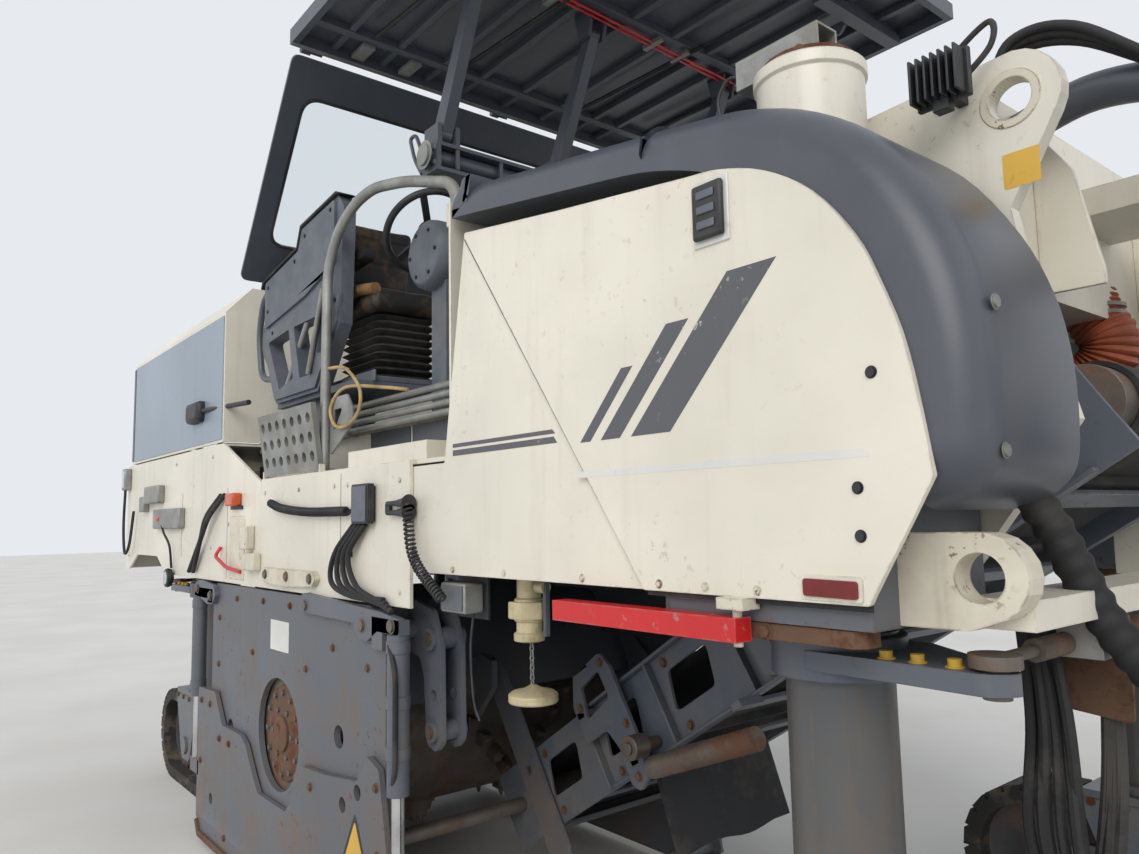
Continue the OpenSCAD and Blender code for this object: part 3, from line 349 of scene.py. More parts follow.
class Finish(Enum):
    """The finishes of the machine, by the name that its materials carry."""

    CREAM = Paint("cream_paint", srgb(232, 227, 212), rough=0.36, dust=0.30, dust_height=1.5, chips=0.22, edges=0.55)
    CREAM_WORN = Paint("cream_worn", srgb(224, 217, 199), rough=0.45, dust=0.5, dust_height=2.2, chips=1.0, edges=1.0,
                       streaks=0.3, slot="cream_paint")
    SLATE = Paint("slate_paint", srgb(88, 96, 108), rough=0.42, dust=0.45, dust_height=1.6, chips=0.35, edges=0.7)
    SLATE_RUSTY = Paint("slate_rusty", srgb(92, 99, 108), rough=0.5, dust=0.5, dust_height=1.6, chips=0.7, edges=1.0,
                        streaks=0.3, dust_colour=srgb(122, 100, 80), bare_colour=srgb(104, 62, 38),
                        slot="slate_paint")
    SLATE_CLEAN = Paint("slate_clean", srgb(74, 80, 90), rough=0.45, dust=0.2, chips=0.08, edges=0.3, streaks=0.05,
                        slot="slate_paint")
    COVER = Paint("slate_cover", srgb(70, 74, 84), rough=0.40, dust=0.22, dust_height=3.0, chips=0.05, edges=0.12,
                  streaks=0.06, dust_colour=srgb(112, 112, 112), coat=0.1)
    PALE_BLUE = Paint("pale_blue_paint", srgb(140, 156, 172), rough=0.35, dust=0.25, chips=0.15, edges=0.3)
    RED = Paint("red_paint", srgb(204, 30, 34), rough=0.34, dust=0.2, chips=0.6, edges=0.7,
                bare_colour=srgb(150, 146, 138), dust_colour=srgb(120, 60, 52))
    ZINC = Surface("galvanised", srgb(150, 151, 148), rough=0.5, metal=0.6, stain=srgb(120, 112, 98), stains=0.45,
                   stain_size=5.0)
    WORN_STEEL = Surface("worn_steel", srgb(120, 112, 104), rough=0.55, metal=0.7, stain=srgb(108, 68, 44),
                         stains=0.85, stain_size=3.0)
    CHROME = Surface("chrome_rod", srgb(205, 206, 208), rough=0.16, metal=1.0, stains=0.08, scratches=0.1)
    RUBBER = Surface("black_rubber", srgb(34, 34, 36), rough=0.72, stain=srgb(96, 90, 82), stains=0.35,
                     stain_size=3.5)
    TRACK = Surface("track_shoe", srgb(44, 43, 42), rough=0.85, stain=srgb(112, 100, 84), stains=0.7, stain_size=6.0)
    BLACK = Surface("black_plastic", srgb(36, 37, 40), rough=0.5, stain=srgb(84, 82, 78), stains=0.25, stain_size=7.0)
    GREY = Surface("grey_plastic", srgb(92, 98, 108), rough=0.55, stain=srgb(120, 118, 112), stains=0.35)
    BRASS = Surface("valve_brass", srgb(196, 184, 148), rough=0.5, metal=0.3, stain=srgb(112, 92, 62), stains=0.6)
    SEAT = Surface("seat_cover", srgb(38, 37, 37), rough=0.62, stain=srgb(150, 118, 82), stains=0.25, stain_size=6.0)
    IRON = Surface("engine_iron", srgb(70, 70, 72), rough=0.6, metal=0.2, stains=0.4)
    DARK_STRIPE = Paint("stripe_film", srgb(84, 86, 92), rough=0.5, dust=0.2, chips=0.9, edges=0.0,
                        bare_colour=srgb(222, 217, 203), slot="slate_paint")
    YELLOW = Paint("blank_sign", srgb(228, 182, 66), rough=0.45, dust=0.2, chips=0.3, edges=0.0, slot="cream_paint")
    WHITE = Paint("blank_label", srgb(226, 226, 222), rough=0.45, dust=0.25, chips=0.4, edges=0.0, slot="cream_paint")
    LENS_RED = Surface("red_lens", srgb(120, 34, 34), rough=0.22, stains=0.2, slot="red_paint")
    LENS_AMBER = Surface("amber_lens", srgb(214, 92, 38), rough=0.25, stains=0.15, slot="red_paint")
    LENS_CLEAR = Surface("clear_lens", srgb(196, 204, 208), rough=0.12, metal=0.4, stains=0.05, slot="chrome_rod")
    ROPE = Surface("rope", srgb(182, 156, 112), rough=0.9, stain=srgb(120, 98, 66), stains=0.4, stain_size=20.0,
                   slot="black_rubber")
    ORANGE = Surface("orange_hose", srgb(176, 92, 62), rough=0.6, stain=srgb(120, 84, 66), stains=0.5, stain_size=4.0,
                     slot="black_rubber")
    RUST = Surface("rusty_plate", srgb(110, 84, 66), rough=0.8, metal=0.2, stain=srgb(88, 50, 30), stains=0.9,
                   stain_size=9.0, slot="worn_steel")
    COLUMN = Paint("column_paint", srgb(84, 88, 92), rough=0.42, dust=0.5, dust_height=3.0, chips=0.8, edges=0.8,
                   streaks=0.5, dust_colour=srgb(106, 92, 78), bare_colour=srgb(120, 98, 78), slot="slate_paint")
    YELLOW_CAP = Surface("yellow_cap", srgb(206, 168, 56), rough=0.5, stain=srgb(120, 98, 60), stains=0.4,
                         slot="black_plastic")
    FOAM = Surface("worn_foam", srgb(140, 106, 66), rough=0.9, stain=srgb(52, 46, 42), stains=0.7, stain_size=14.0,
                   slot="seat_cover")
    PANE = Glass("screen_pane", srgb(236, 242, 244), slot="black_plastic")

    def get(self) -> bpy.types.Material:
        """Returns this finish's material, made on first use."""
        found = bpy.data.materials.get("fin." + self.value.name)
        if found is None:
            found = self.value.material()
            found.name = "fin." + self.value.name
        return found

    @property
    def slot(self) -> str:
        """Returns the record's material slot that stands for this finish."""
        return self.value.slot or self.value.name


# The CAD's own nodes

NODE_FINISH: dict[Finish, str] = {
    Finish.SLATE_RUSTY: "main_frame drum_housing drum_drive first_frame edge_plate_right edge_plate_left "
                         "scraper_blade hold_down",
    Finish.IRON: "engine_block",
    Finish.CREAM: "rear_body mid_body side_panels mid_panels leg_stubs conveyor_tower engine_hood slew_bracket",
    Finish.COVER: "front_covers",
    Finish.CREAM_WORN: "lashing_plates",
    Finish.PALE_BLUE: "hood_sides",
    Finish.SLATE_CLEAN: "hood_grille cross_beam lift_arms roof rear_screen",
    Finish.ZINC: "platform_floor handrails control_boxes folding_step",
    Finish.GREY: "seat_consoles steering_console",
    Finish.SEAT: "seat_cushions",
    Finish.RUBBER: "seat_bellows first_belt hoses out_belt",
    Finish.BLACK: "steering_wheel lamps",
    Finish.SLATE: "edge_cylinders_right edge_cylinders_left scraper_cylinders leg_front_right "
                  "leg_front_left leg_rear_right leg_rear_left out_frame luff_barrels",
    Finish.BRASS: "water_valve",
    Finish.TRACK: "track_front_right track_front_left track_rear_right track_rear_left",
    Finish.WORN_STEEL: "tie_rod_front tie_rod_rear milling_drum",
    Finish.CHROME: "luff_rods",
    Finish.RED: "guide_bar",
}


def dress_nodes() -> None:
    """Gives every CAD node its finish."""
    for finish, names in NODE_FINISH.items():
        for name in names.split():
            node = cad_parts[name]
            node.data.materials.clear()
            node.data.materials.append(finish.get())


# Mesh helpers

# How two flat lengths and one along an axis make a point
AXES = {"x": lambda a, b, t: (t, a, b), "y": lambda a, b, t: (a, t, b), "z": lambda a, b, t: (a, b, t)}


class Shape:
    """Collects plain solids in millimetres and turns them into one piece."""

    def __init__(self) -> None:
        """Starts with an empty mesh."""
        self.mesh = bmesh.new()

    def _faces(self, points: list[Vector], faces: list[tuple[int, ...]]) -> None:
        """Adds points and faces."""
        made = [self.mesh.verts.new(p) for p in points]
        for face in faces:
            self.mesh.faces.new([made[i] for i in face])

    def box(self, x: Pair, y: Pair, z: Pair) -> "Shape":
        """Adds a block between two bounds on each axis and returns the shape."""
        points = [at(x[i], y[j], z[k]) for i in (0, 1) for j in (0, 1) for k in (0, 1)]
        faces = [(0, 1, 3, 2), (4, 6, 7, 5), (0, 4, 5, 1), (2, 3, 7, 6), (0, 2, 6, 4), (1, 5, 7, 3)]
        self._faces(points, faces)
        return self

    def slab(self, outline: Outline, a: float, b: float, axis: str = "y", holes: list[Outline] | None = None,
             where: Placing = at) -> "Shape":
        """Adds a plate with holes.

        Args:
            outline: its outline, in the other two axes.
            a: where its one face lies on the axis.
            b: where its other face lies.
            axis: the axis across the plate.
            holes: outlines of its holes.
            where: turns three machine lengths into a point.

        Returns:
            The shape itself.
        """
        loops = [outline, *(holes or [])]
        order = AXES[axis]
        flat = [p for loop in loops for p in loop]
        points = [where(*order(*p, t)) for t in (a, b) for p in flat]
        n = len(flat)
        caps = tessellate_polygon([[Vector((*p, 0.0)) for p in loop] for loop in loops])
        faces = [tuple(c) for c in caps] + [tuple(i + n for i in reversed(c)) for c in caps]
        start = 0
        for loop in loops:
            m = len(loop)
            for i in range(m):
                j = start + (i + 1) % m
                faces.append((start + i, j, n + j, n + start + i))
            start += m
        self._faces(points, faces)
        return self

    def loft(self, rings: list[list[Vector]], joined: bool = False) -> "Shape":
        """Adds a skin over rings, capped at its ends or joined end to end, and returns the shape."""
        m, n = len(rings[0]), len(rings)
        points = [p for ring in rings for p in ring]
        faces = [(r * m + k, r * m + (k + 1) % m, (r + 1) % n * m + (k + 1) % m, (r + 1) % n * m + k)
                 for r in range(n if joined else n - 1) for k in range(m)]
        if not joined:
            faces += [tuple(range(m))[::-1], tuple(range(len(points) - m, len(points)))]
        self._faces(points, faces)
        return self

    def turned(self, profile: Outline, centre: Pair, axis: str = "z", sides: int = 40) -> "Shape":
        """Adds a turned solid.

        Args:
            profile: radius and place along the axis, from one end to the other, or back to its start for a ring.
            centre: where the axis lies, in the other two axes.
            axis: the axis itself.
            sides: how many flats make its round.

        Returns:
            The shape itself.
        """
        order = AXES[axis]
        turns = [2 * math.pi * k / sides for k in range(sides)]
        rings = [[at(*order(centre[0] + max(r, 0.5) * math.cos(a), centre[1] + max(r, 0.5) * math.sin(a), t))
                  for a in turns] for r, t in profile]
        ring = profile[0] == profile[-1]
        return self.loft(rings[:-1] if ring else rings, ring)

    def rod(self, a: Point, b: Point, radius: float, sides: int = 20) -> "Shape":
        """Adds a round bar and returns the shape."""
        return self.tube([a, b], radius, sides)

    def tube(self, path: list[Point], radius: float, sides: int = 12) -> "Shape":
        """Adds a tube along a path of points and returns the shape.

        Args:
            path: the centre line.
            radius: the tube's radius.
            sides: its number of sides.

        Returns:
            The shape itself.
        """
        points = [at(*p) for p in path]
        rings = []
        last = None
        for i, p in enumerate(points):
            ahead = points[min(i + 1, len(points) - 1)] - points[max(i - 1, 0)]
            ahead.normalize()
            if last is None:
                side = ahead.cross(Vector((0, 0, 1)))
                if side.length < 0.01:
                    side = ahead.cross(Vector((1, 0, 0)))
            else:
                side = last - ahead * last.dot(ahead)
            side.normalize()
            last = side
            up = ahead.cross(side)
            rings.append([p + (side * math.cos(t) + up * math.sin(t)) * radius / 1000
                          for t in (2 * math.pi * k / sides for k in range(sides))])
        return self.loft(rings)

    def make(self, name: str, finish: Finish, body: str = "chassis", bevel: float = 0.0,
             smooth: bool = True) -> bpy.types.Object:
        """Turns the solids into a dressed piece on its body.

        Args:
            name: the piece's name.
            finish: its finish.
            body: the CAD body that it rides on.
            bevel: the width of a bevel on its sharp edges, in millimetres.
            smooth: whether faces under 40 degrees apart shade as one.

        Returns:
            The finished object.
        """
        bmesh.ops.recalc_face_normals(self.mesh, faces=self.mesh.faces)
        data = bpy.data.meshes.new(name)
        self.mesh.to_mesh(data)
        self.mesh.free()
        return finish_piece(data, name, finish, body, bevel, smooth)


def placed(name: str, data: object) -> bpy.types.Object:
    """Returns a new object that is in the scene."""
    made = bpy.data.objects.new(name, data)
    bpy.context.scene.collection.objects.link(made)
    return made


def baked(piece: bpy.types.Object) -> bpy.types.Mesh:
    """Returns an object's mesh with its modifiers in it, and clears them."""
    graph = bpy.context.evaluated_depsgraph_get()
    data = bpy.data.meshes.new_from_object(piece.evaluated_get(graph))
    piece.modifiers.clear()
    return data


def finish_piece(data: bpy.types.Mesh, name: str, finish: Finish, body: str = "chassis", bevel: float = 0.0,
                 smooth: bool = True) -> bpy.types.Object:
    """Makes an object of a mesh, smooths and bevels it, and lets it ride on its body.

    Args:
        data: the mesh, in the shared frame.
        name: the piece's name.
        finish: its finish.
        body: the CAD body that it rides on.
        bevel: the width of a bevel, in millimetres.
        smooth: whether faces under 40 degrees apart shade as one.

    Returns:
        The object.
    """
    piece = placed(name, data)
    data.materials.clear()
    data.materials.append(finish.get())
    if bevel:
        rounding = piece.modifiers.new("rounding", "BEVEL")
        rounding.width = bevel / 1000
        rounding.segments = 2
        rounding.limit_method = "ANGLE"
        rounding.angle_limit = SMOOTH_UNDER
    if smooth:
        data.shade_smooth()
        data.set_sharp_from_angle(angle=SMOOTH_UNDER)
    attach(piece, body)
    finish.slot
    return piece


def curved(points: list[Point], steps: int = 8) -> list[Point]:
    """Returns a smooth path through points.

    Args:
        points: what the path passes through.
        steps: how many points it has from one to the next.

    Returns:
        The points of the path.
    """
    rows = [Vector(p) for p in points]
    ends = [2 * rows[0] - rows[1], *rows, 2 * rows[-1] - rows[-2]]
    path = []
    for i in range(1, len(ends) - 2):
        a, b, c, d = ends[i - 1:i + 3]
        for k in range(steps):
            t = k / steps
            path.append(tuple(0.5 * (2 * b + (c - a) * t + (2 * a - 5 * b + 4 * c - d) * t ** 2
                                     + (3 * b - a - 3 * c + d) * t ** 3)))
    path.append(tuple(rows[-1]))
    return path


def curved_line(points: Outline, steps: int = 4) -> Outline:
    """Returns a smooth flat outline through points."""
    return [(x, z) for x, _, z in curved([(p[0], 0, p[1]) for p in points], steps)]


def corner(back: Vector, q: Vector, ahead: Vector, reach: float, steps: int) -> list[tuple[float, ...]]:
    """Returns the points of a round corner.

    Args:
        back: the way from the corner to the point before it.
        q: the corner.
        ahead: the way from the corner to the point after it.
        reach: how far from the corner the round part starts, at most.
        steps: how many flats make it round.

    Returns:
        The points, from the start of the round part to its end.
    """
    reach = min(reach, back.length * 0.45, ahead.length * 0.45)
    start, end = q + back.normalized() * reach, q + ahead.normalized() * reach
    return [tuple((1 - t) ** 2 * start + 2 * t * (1 - t) * q + t * t * end)
            for t in (k / steps for k in range(steps + 1))]


def rounded(outline: Outline, radius: float, steps: int = 5) -> Outline:
    """Returns a closed outline with its corners rounded."""
    made = []
    for i, point in enumerate(outline):
        q = Vector(point)
        back, ahead = Vector(outline[i - 1]) - q, Vector(outline[(i + 1) % len(outline)]) - q
        made += corner(back, q, ahead, radius / math.tan(back.angle(ahead) / 2), steps)
    return made


def bent(points: list[Point], reach: float, steps: int = 6) -> list[Point]:
    """Returns an open path of straight runs with round bends that start at a reach from each corner."""
    path = [tuple(points[0])]
    for a, b, c in zip(points, points[1:], points[2:]):
        q = Vector(b)
        path += corner(Vector(a) - q, q, Vector(c) - q, reach, steps)
    path.append(tuple(points[-1]))
    return path


def coiled(points: list[Point], coil: float, pitch: float) -> list[Point]:
    """Returns the path of a curly cable that winds round a line through points."""
    line = [Vector(p) for p in curved(points, 12)]
    path = []
    run = 0.0
    for a, b in zip(line, line[1:]):
        ahead = (b - a).normalized()
        side = ahead.cross(Vector((0, 1, 0))).normalized()
        up = ahead.cross(side)
        count = max(2, round((b - a).length / pitch * 9))
        for k in range(count):
            turn = 2 * math.pi * (run + (b - a).length * k / count) / pitch
            path.append(tuple(a + (b - a) * k / count + (side * math.cos(turn) + up * math.sin(turn)) * coil))
        run += (b - a).length
    return path


def oblong(x0: float, z0: float, x1: float, z1: float) -> Outline:
    """Returns the outline of a rectangle between two corners."""
    return [(x0, z0), (x1, z0), (x1, z1), (x0, z1)]


def circle(x: float, z: float, radius: float, count: int = 28, start: float = 0.0) -> Outline:
    """Returns points spread evenly on a circle, from a share of their step onwards."""
    return [(x + radius * math.cos(t), z + radius * math.sin(t))
            for t in (2 * math.pi * (k + start) / count for k in range(count))]


def both_ways(middle: float, *half: Pair) -> Outline:
    """Returns a turned profile that is alike on both sides of its middle, from radii and distances to it."""
    return [(r, middle - t) for r, t in half] + [(r, middle + t) for r, t in reversed(half)]


def side_spots(y: float, way: int, *flat: Pair) -> Spots:
    """Returns spots at x and z on a face that looks out to the right (-1) or the left (1)."""
    return [((x, y, z), (0.0, way, 0.0)) for x, z in flat]


def top_spots(z: float, *flat: Pair) -> Spots:
    """Returns spots at x and y on a face that looks up."""
    return [((x, y, z), UP) for x, y in flat]


def leaning(x0: float, y0: float, z0: float, degrees: float) -> Placing:
    """Returns a function that places machine lengths in a frame that leans back or forward about the Y axis."""
    c, s = math.cos(math.radians(degrees)), math.sin(math.radians(degrees))
    return lambda x, y, z: at(x0 + x * c + z * s, y0 + y, z0 - x * s + z * c)


def block(shape: Shape, x: Pair, y: Pair, z: Pair, where: Placing) -> Shape:
    """Adds a block in a leaning frame and returns the shape."""
    return shape.slab(oblong(x[0], z[0], x[1], z[1]), y[0], y[1], where=where)


# Trees that make what repeats


class Repeats:
    """The geometry node trees for fasteners and ribbed hoses, each built once."""

    @staticmethod
    def _start(name: str, sizes: dict[str, float]) -> tuple:
        """Makes a tree with a geometry input, named sizes and a finish."""
        tree = bpy.data.node_groups.new(name, "GeometryNodeTree")
        tree.interface.new_socket(name="Geometry", in_out="INPUT", socket_type="NodeSocketGeometry")
        for key, value in sizes.items():
            kind = "NodeSocketInt" if isinstance(value, int) else "NodeSocketFloat"
            tree.interface.new_socket(name=key, in_out="INPUT", socket_type=kind).default_value = value
        tree.interface.new_socket(name="Finish", in_out="INPUT", socket_type="NodeSocketMaterial")
        tree.interface.new_socket(name="Geometry", in_out="OUTPUT", socket_type="NodeSocketGeometry")
        g = Graph(tree)
        return tree, g, g.node("NodeGroupInput"), g.node("NodeGroupOutput")

    @staticmethod
    def _end(g: Graph, given: bpy.types.Node, out: bpy.types.Node, made: bpy.types.NodeSocket) -> None:
        """Realizes the copies and gives them their finish."""
        real = g.node("GeometryNodeRealizeInstances", {0: made}).outputs[0]
        done = g.node("GeometryNodeSetMaterial", {"Geometry": real, "Material": given.outputs["Finish"]})
        g.tree.links.new(done.outputs[0], out.inputs[0])

    @classmethod
    @cache
    def fasteners(cls) -> bpy.types.NodeTree:
        """Returns the tree that sets a turned head, with its washer, on every point."""
        sizes = {"Radius": 0.012, "Height": 0.01, "Sides": 6}
        tree, g, given, out = cls._start("fasteners", sizes)
        radius, height = given.outputs["Radius"], given.outputs["Height"]
        head = g.node("GeometryNodeMeshCylinder", {"Vertices": given.outputs["Sides"], "Radius": radius,
                                                   "Depth": height})
        washer = g.node("GeometryNodeMeshCylinder", {"Vertices": 20, "Radius": g.math("MULTIPLY", radius, 1.35),
                                                     "Depth": g.math("MULTIPLY", height, 0.3)})
        lift = g.node("ShaderNodeCombineXYZ", {2: g.math("MULTIPLY", height, 0.5)}).outputs[0]
        raised = g.node("GeometryNodeTransform", {"Geometry": head.outputs[0], "Translation": lift})
        both = g.node("GeometryNodeJoinGeometry")
        tree.links.new(raised.outputs[0], both.inputs[0])
        tree.links.new(washer.outputs[0], both.inputs[0])
        facing = g.node("GeometryNodeInputNamedAttribute", {"Name": "facing"}, data_type="FLOAT_VECTOR")
        turn = g.node("FunctionNodeAlignRotationToVector", {"Vector": facing.outputs[0]}, axis="Z")
        spots = g.node("GeometryNodeMeshToPoints", {"Mesh": given.outputs[0]})
        copies = g.node("GeometryNodeInstanceOnPoints", {"Points": spots.outputs[0],
                                                         "Instance": both.outputs[0],
                                                         "Rotation": turn.outputs[0]})
        cls._end(g, given, out, copies.outputs[0])
        return tree

    @classmethod
    @cache
    def ribbed(cls) -> bpy.types.NodeTree:
        """Returns the tree that runs a ribbed hose along a path."""
        tree, g, given, out = cls._start("ribbed", {"Radius": 0.05, "Rib": 0.1, "Pitch": 0.02, "Sides": 24})
        line = g.node("GeometryNodeMeshToCurve", {"Mesh": given.outputs[0]}).outputs[0]
        step = g.math("DIVIDE", given.outputs["Pitch"], 6.0)
        fine = g.node("GeometryNodeResampleCurve", {"Curve": line, "Length": step}, mode="LENGTH")
        along = g.node("GeometryNodeSplineParameter").outputs["Length"]
        phase = g.math("MULTIPLY", g.math("DIVIDE", along, given.outputs["Pitch"]), 2 * math.pi)
        wave = g.math("MULTIPLY", g.math("SINE", phase), given.outputs["Rib"])
        size = g.math("MULTIPLY", g.math("ADD", 1.0, wave), given.outputs["Radius"])
        profile = g.node("GeometryNodeCurvePrimitiveCircle", {"Resolution": given.outputs["Sides"],
                                                              "Radius": 1.0})
        hose = g.node("GeometryNodeCurveToMesh", {"Curve": fine.outputs[0], "Profile Curve": profile.outputs[0],
                                                  "Scale": size, "Fill Caps": True})
        cls._end(g, given, out, hose.outputs[0])
        return tree

    @staticmethod
    def run(tree: bpy.types.NodeTree, source: bpy.types.Mesh, sizes: dict[str, float],
            piece: dict) -> bpy.types.Object:
        """Runs a tree on a mesh and makes its result a piece.

        Args:
            tree: the geometry node tree.
            source: the points or the path.
            sizes: the tree's named sizes.
            piece: the name, finish and body of the piece.

        Returns:
            The finished object.
        """
        holder = placed("holder", source)
        step = holder.modifiers.new("tree", "NODES")
        step.node_group = tree
        for item in tree.interface.items_tree:
            if item.in_out == "INPUT" and item.name in sizes:
                step[item.identifier] = sizes[item.name]
            if item.in_out == "INPUT" and item.name == "Finish":
                step[item.identifier] = piece["finish"].get()
        data = baked(holder)
        bpy.data.objects.remove(holder)
        return finish_piece(data, **piece)


def fasteners(name: str, spots: Spots, radius: float, height: float, finish: Finish,
              body: str = "chassis", sides: int = 6) -> bpy.types.Object:
    """Sets screw or bolt heads on spots.

    Args:
        name: the piece's name.
        spots: where each sits, in machine millimetres, and the way it faces.
        radius: the head's radius, in millimetres.
        height: its height, in millimetres.
        finish: its finish.
        body: the body that carries them.
        sides: the head's number of sides.

    Returns:
        The piece.
    """
    data = bpy.data.meshes.new(name)
    data.from_pydata([at(*spot) for spot, _ in spots], [], [])
    facing = data.attributes.new("facing", "FLOAT_VECTOR", "POINT")
    for i, (_, way) in enumerate(spots):
        facing.data[i].vector = way
    sizes = {"Radius": radius / 1000, "Height": height / 1000, "Sides": sides}
    piece = {"name": name, "finish": finish, "body": body}
    return Repeats.run(Repeats.fasteners(), data, sizes, piece)


def ribbed_hose(name: str, path: list[Point], radius: float, rib: float, pitch: float, finish: Finish,
                body: str = "chassis") -> bpy.types.Object:
    """Runs a ribbed hose through points, with sizes in millimetres and the rib as a share of its radius."""
    line = curved(path)
    data = bpy.data.meshes.new(name)
    data.from_pydata([at(*p) for p in line], [(i, i + 1) for i in range(len(line) - 1)], [])
    sizes = {"Radius": radius / 1000, "Rib": rib, "Pitch": pitch / 1000}
    piece = {"name": name, "finish": finish, "body": body}
    return Repeats.run(Repeats.ribbed(), data, sizes, piece)


# Sub-assemblies


@dataclass
class FrontBodywork:
    """The moulded covers, the outer and inner side panels and the sleeves over the legs."""

    cover_y: float = 1238.0
    tunnel: float = 645.0
    depth: float = 120.0
    deck_end: float = 2236.0
    nose_start: float = 2190.0
    lip_x: Pair = (2318.0, 2372.0)
    big: float = 92.0
    small: float = 45.0
    sleeve: float = 126.0
    line: tuple[Pair, ...] = (
        (1404, 2640), (1420, 2678), (1460, 2690), (1800, 2637), (2200, 2574), (2420, 2539), (2600, 2501),
        (2760, 2432), (2900, 2322), (3005, 2170), (3062, 2030), (3086, 1900), (3089, 1780), (3078, 1680),
        (3030, 1625), (2960, 1600))

    def ring(self, point: Vector, normal: Vector, depth: float, sides: Pair, turn: Pair,
             proud: float = 0.0) -> list[Vector]:
        """Returns one cross-section of a cover as a closed ring.

        Args:
            point: where it is on the outer line, in x and z.
            normal: the way out there.
            depth: how deep the cover reaches under that line.
            sides: its outboard and inboard places in y.
            turn: the radius of the outboard and of the inboard corner.
            proud: how far it stands over the line.

        Returns:
            The ring's points, in the shared frame.
        """
        foot = point - normal * depth
        way = 1 if sides[1] > sides[0] else -1
        flat = [(sides[0] - way * proud, foot)]
        for k in range(9):
            t = math.radians(90 * k / 8)
            flat.append((sides[0] - way * proud + way * turn[0] * (1 - math.cos(t)),
                         point + normal * (proud - turn[0] * (1 - math.sin(t)))))
        for k in range(5):
            t = math.radians(90 * k / 4)
            flat.append((sides[1] - way * turn[1] * (1 - math.sin(t)),
                         point + normal * (proud - turn[1] * (1 - math.cos(t)))))
        flat.append((sides[1], foot))
        return [at(p.x, y, p.y) for y, p in flat]

    def covers(self) -> None:
        """Builds the deck cover and the nose on each side of the conveyor."""
        path = [Vector((p[0], p[2])) for p in curved([(x, 0, z) for x, z in self.line], 4)]
        rows = []
        for i, point in enumerate(path):
            ahead = (path[min(i + 1, len(path) - 1)] - path[max(i - 1, 0)]).normalized()
            rows.append((point, Vector((-ahead.y, ahead.x))))
        shape = Shape()
        deck = [r for r in rows if r[0].x < self.deck_end and r[0].y > 2500]
        whole = (-self.cover_y, self.cover_y)
        shape.loft([self.ring(p, n, self.depth, whole, (self.big, self.big)) for p, n in deck])
        nose = [r for r in rows if r[0].x > self.nose_start]
        lip = [r for r in rows if self.lip_x[0] < r[0].x < self.lip_x[1] and r[0].y > 2400]
        for way in (-1, 1):
            sides = (way * self.cover_y, CONV_Y + way * self.tunnel)
            turn = (self.big, self.small)
            rings = []
            for i, (p, n) in enumerate(nose):
                share = i / (len(nose) - 1)
                depth = self.depth + 110 * math.sin(math.pi * min(1.0, share * 1.25)) ** 2
                rings.append(self.ring(p, n, depth if share < 0.97 else 90, sides, turn))
            shape.loft(rings)
            shape.loft([self.ring(p, n, 40, sides, turn, proud) for (p, n), proud in
                        zip((lip[0], lip[0], lip[-1], lip[-1]), (0.5, 9, 9, 0.5))])
        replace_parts(shape.make("moulded_covers", Finish.COVER), "front_covers")
        screws = [((3086, y, z), FRONT) for y in (-1150, 1150) for z in (1960, 1700)]
        fasteners("cover_screws", screws, 11, 5, Finish.ZINC, sides=16)

    def panels(self) -> None:
        """Builds the outer and the inner side panels, with a dark rubber strip along their seam that paints the
        shadow in the gap between them.
        """
        outer = [(1512, 2492), *curved_line([(2460, 2366), (2560, 2352), (2680, 2310), (2790, 2234), (2880, 2120),
                                             (2930, 2010), (2972, 1880), (3008, 1660)]),
                 (2884, 1452), (2872, 1430), (2290, 1430)]
        inner = [(1500, 2505), (1372, 1782), (1152, 1782), (1152, 1430), (2330, 1430), (2330, 2385)]
        for side, way in SIDES:
            skins = [way * y for y in (SKIN_Y, 1238, 1236, 1226)]
            panel = Shape().slab(rounded(outer, 9), skins[0], skins[1])
            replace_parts(panel.make(f"outer_panel_{side}", Finish.CREAM, bevel=3), "side_panels")
            behind = Shape().slab(rounded(inner, 6), skins[2], skins[3])
            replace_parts(behind.make(f"inner_panel_{side}", Finish.CREAM, bevel=2), "mid_panels")
            # Painted shadow: a dark rubber strip between the two skins along the outer panel's edges stands in for
            # the shade in the gap between the panels.
            seam = Shape()
            for a, b in (((1509, 2488), (2286, 1434)), ((2290, 1428), (2872, 1428))):
                across = (Vector((a[1] - b[1], b[0] - a[0])).normalized()) * 10
                seam.slab([(a[0] - across.x, a[1] - across.y), (b[0] - across.x, b[1] - across.y),
                           (b[0] + across.x, b[1] + across.y), (a[0] + across.x, a[1] + across.y)],
                          skins[1], skins[2])
            seam.make(f"panel_seal_{side}", Finish.RUBBER)
        self.marks()

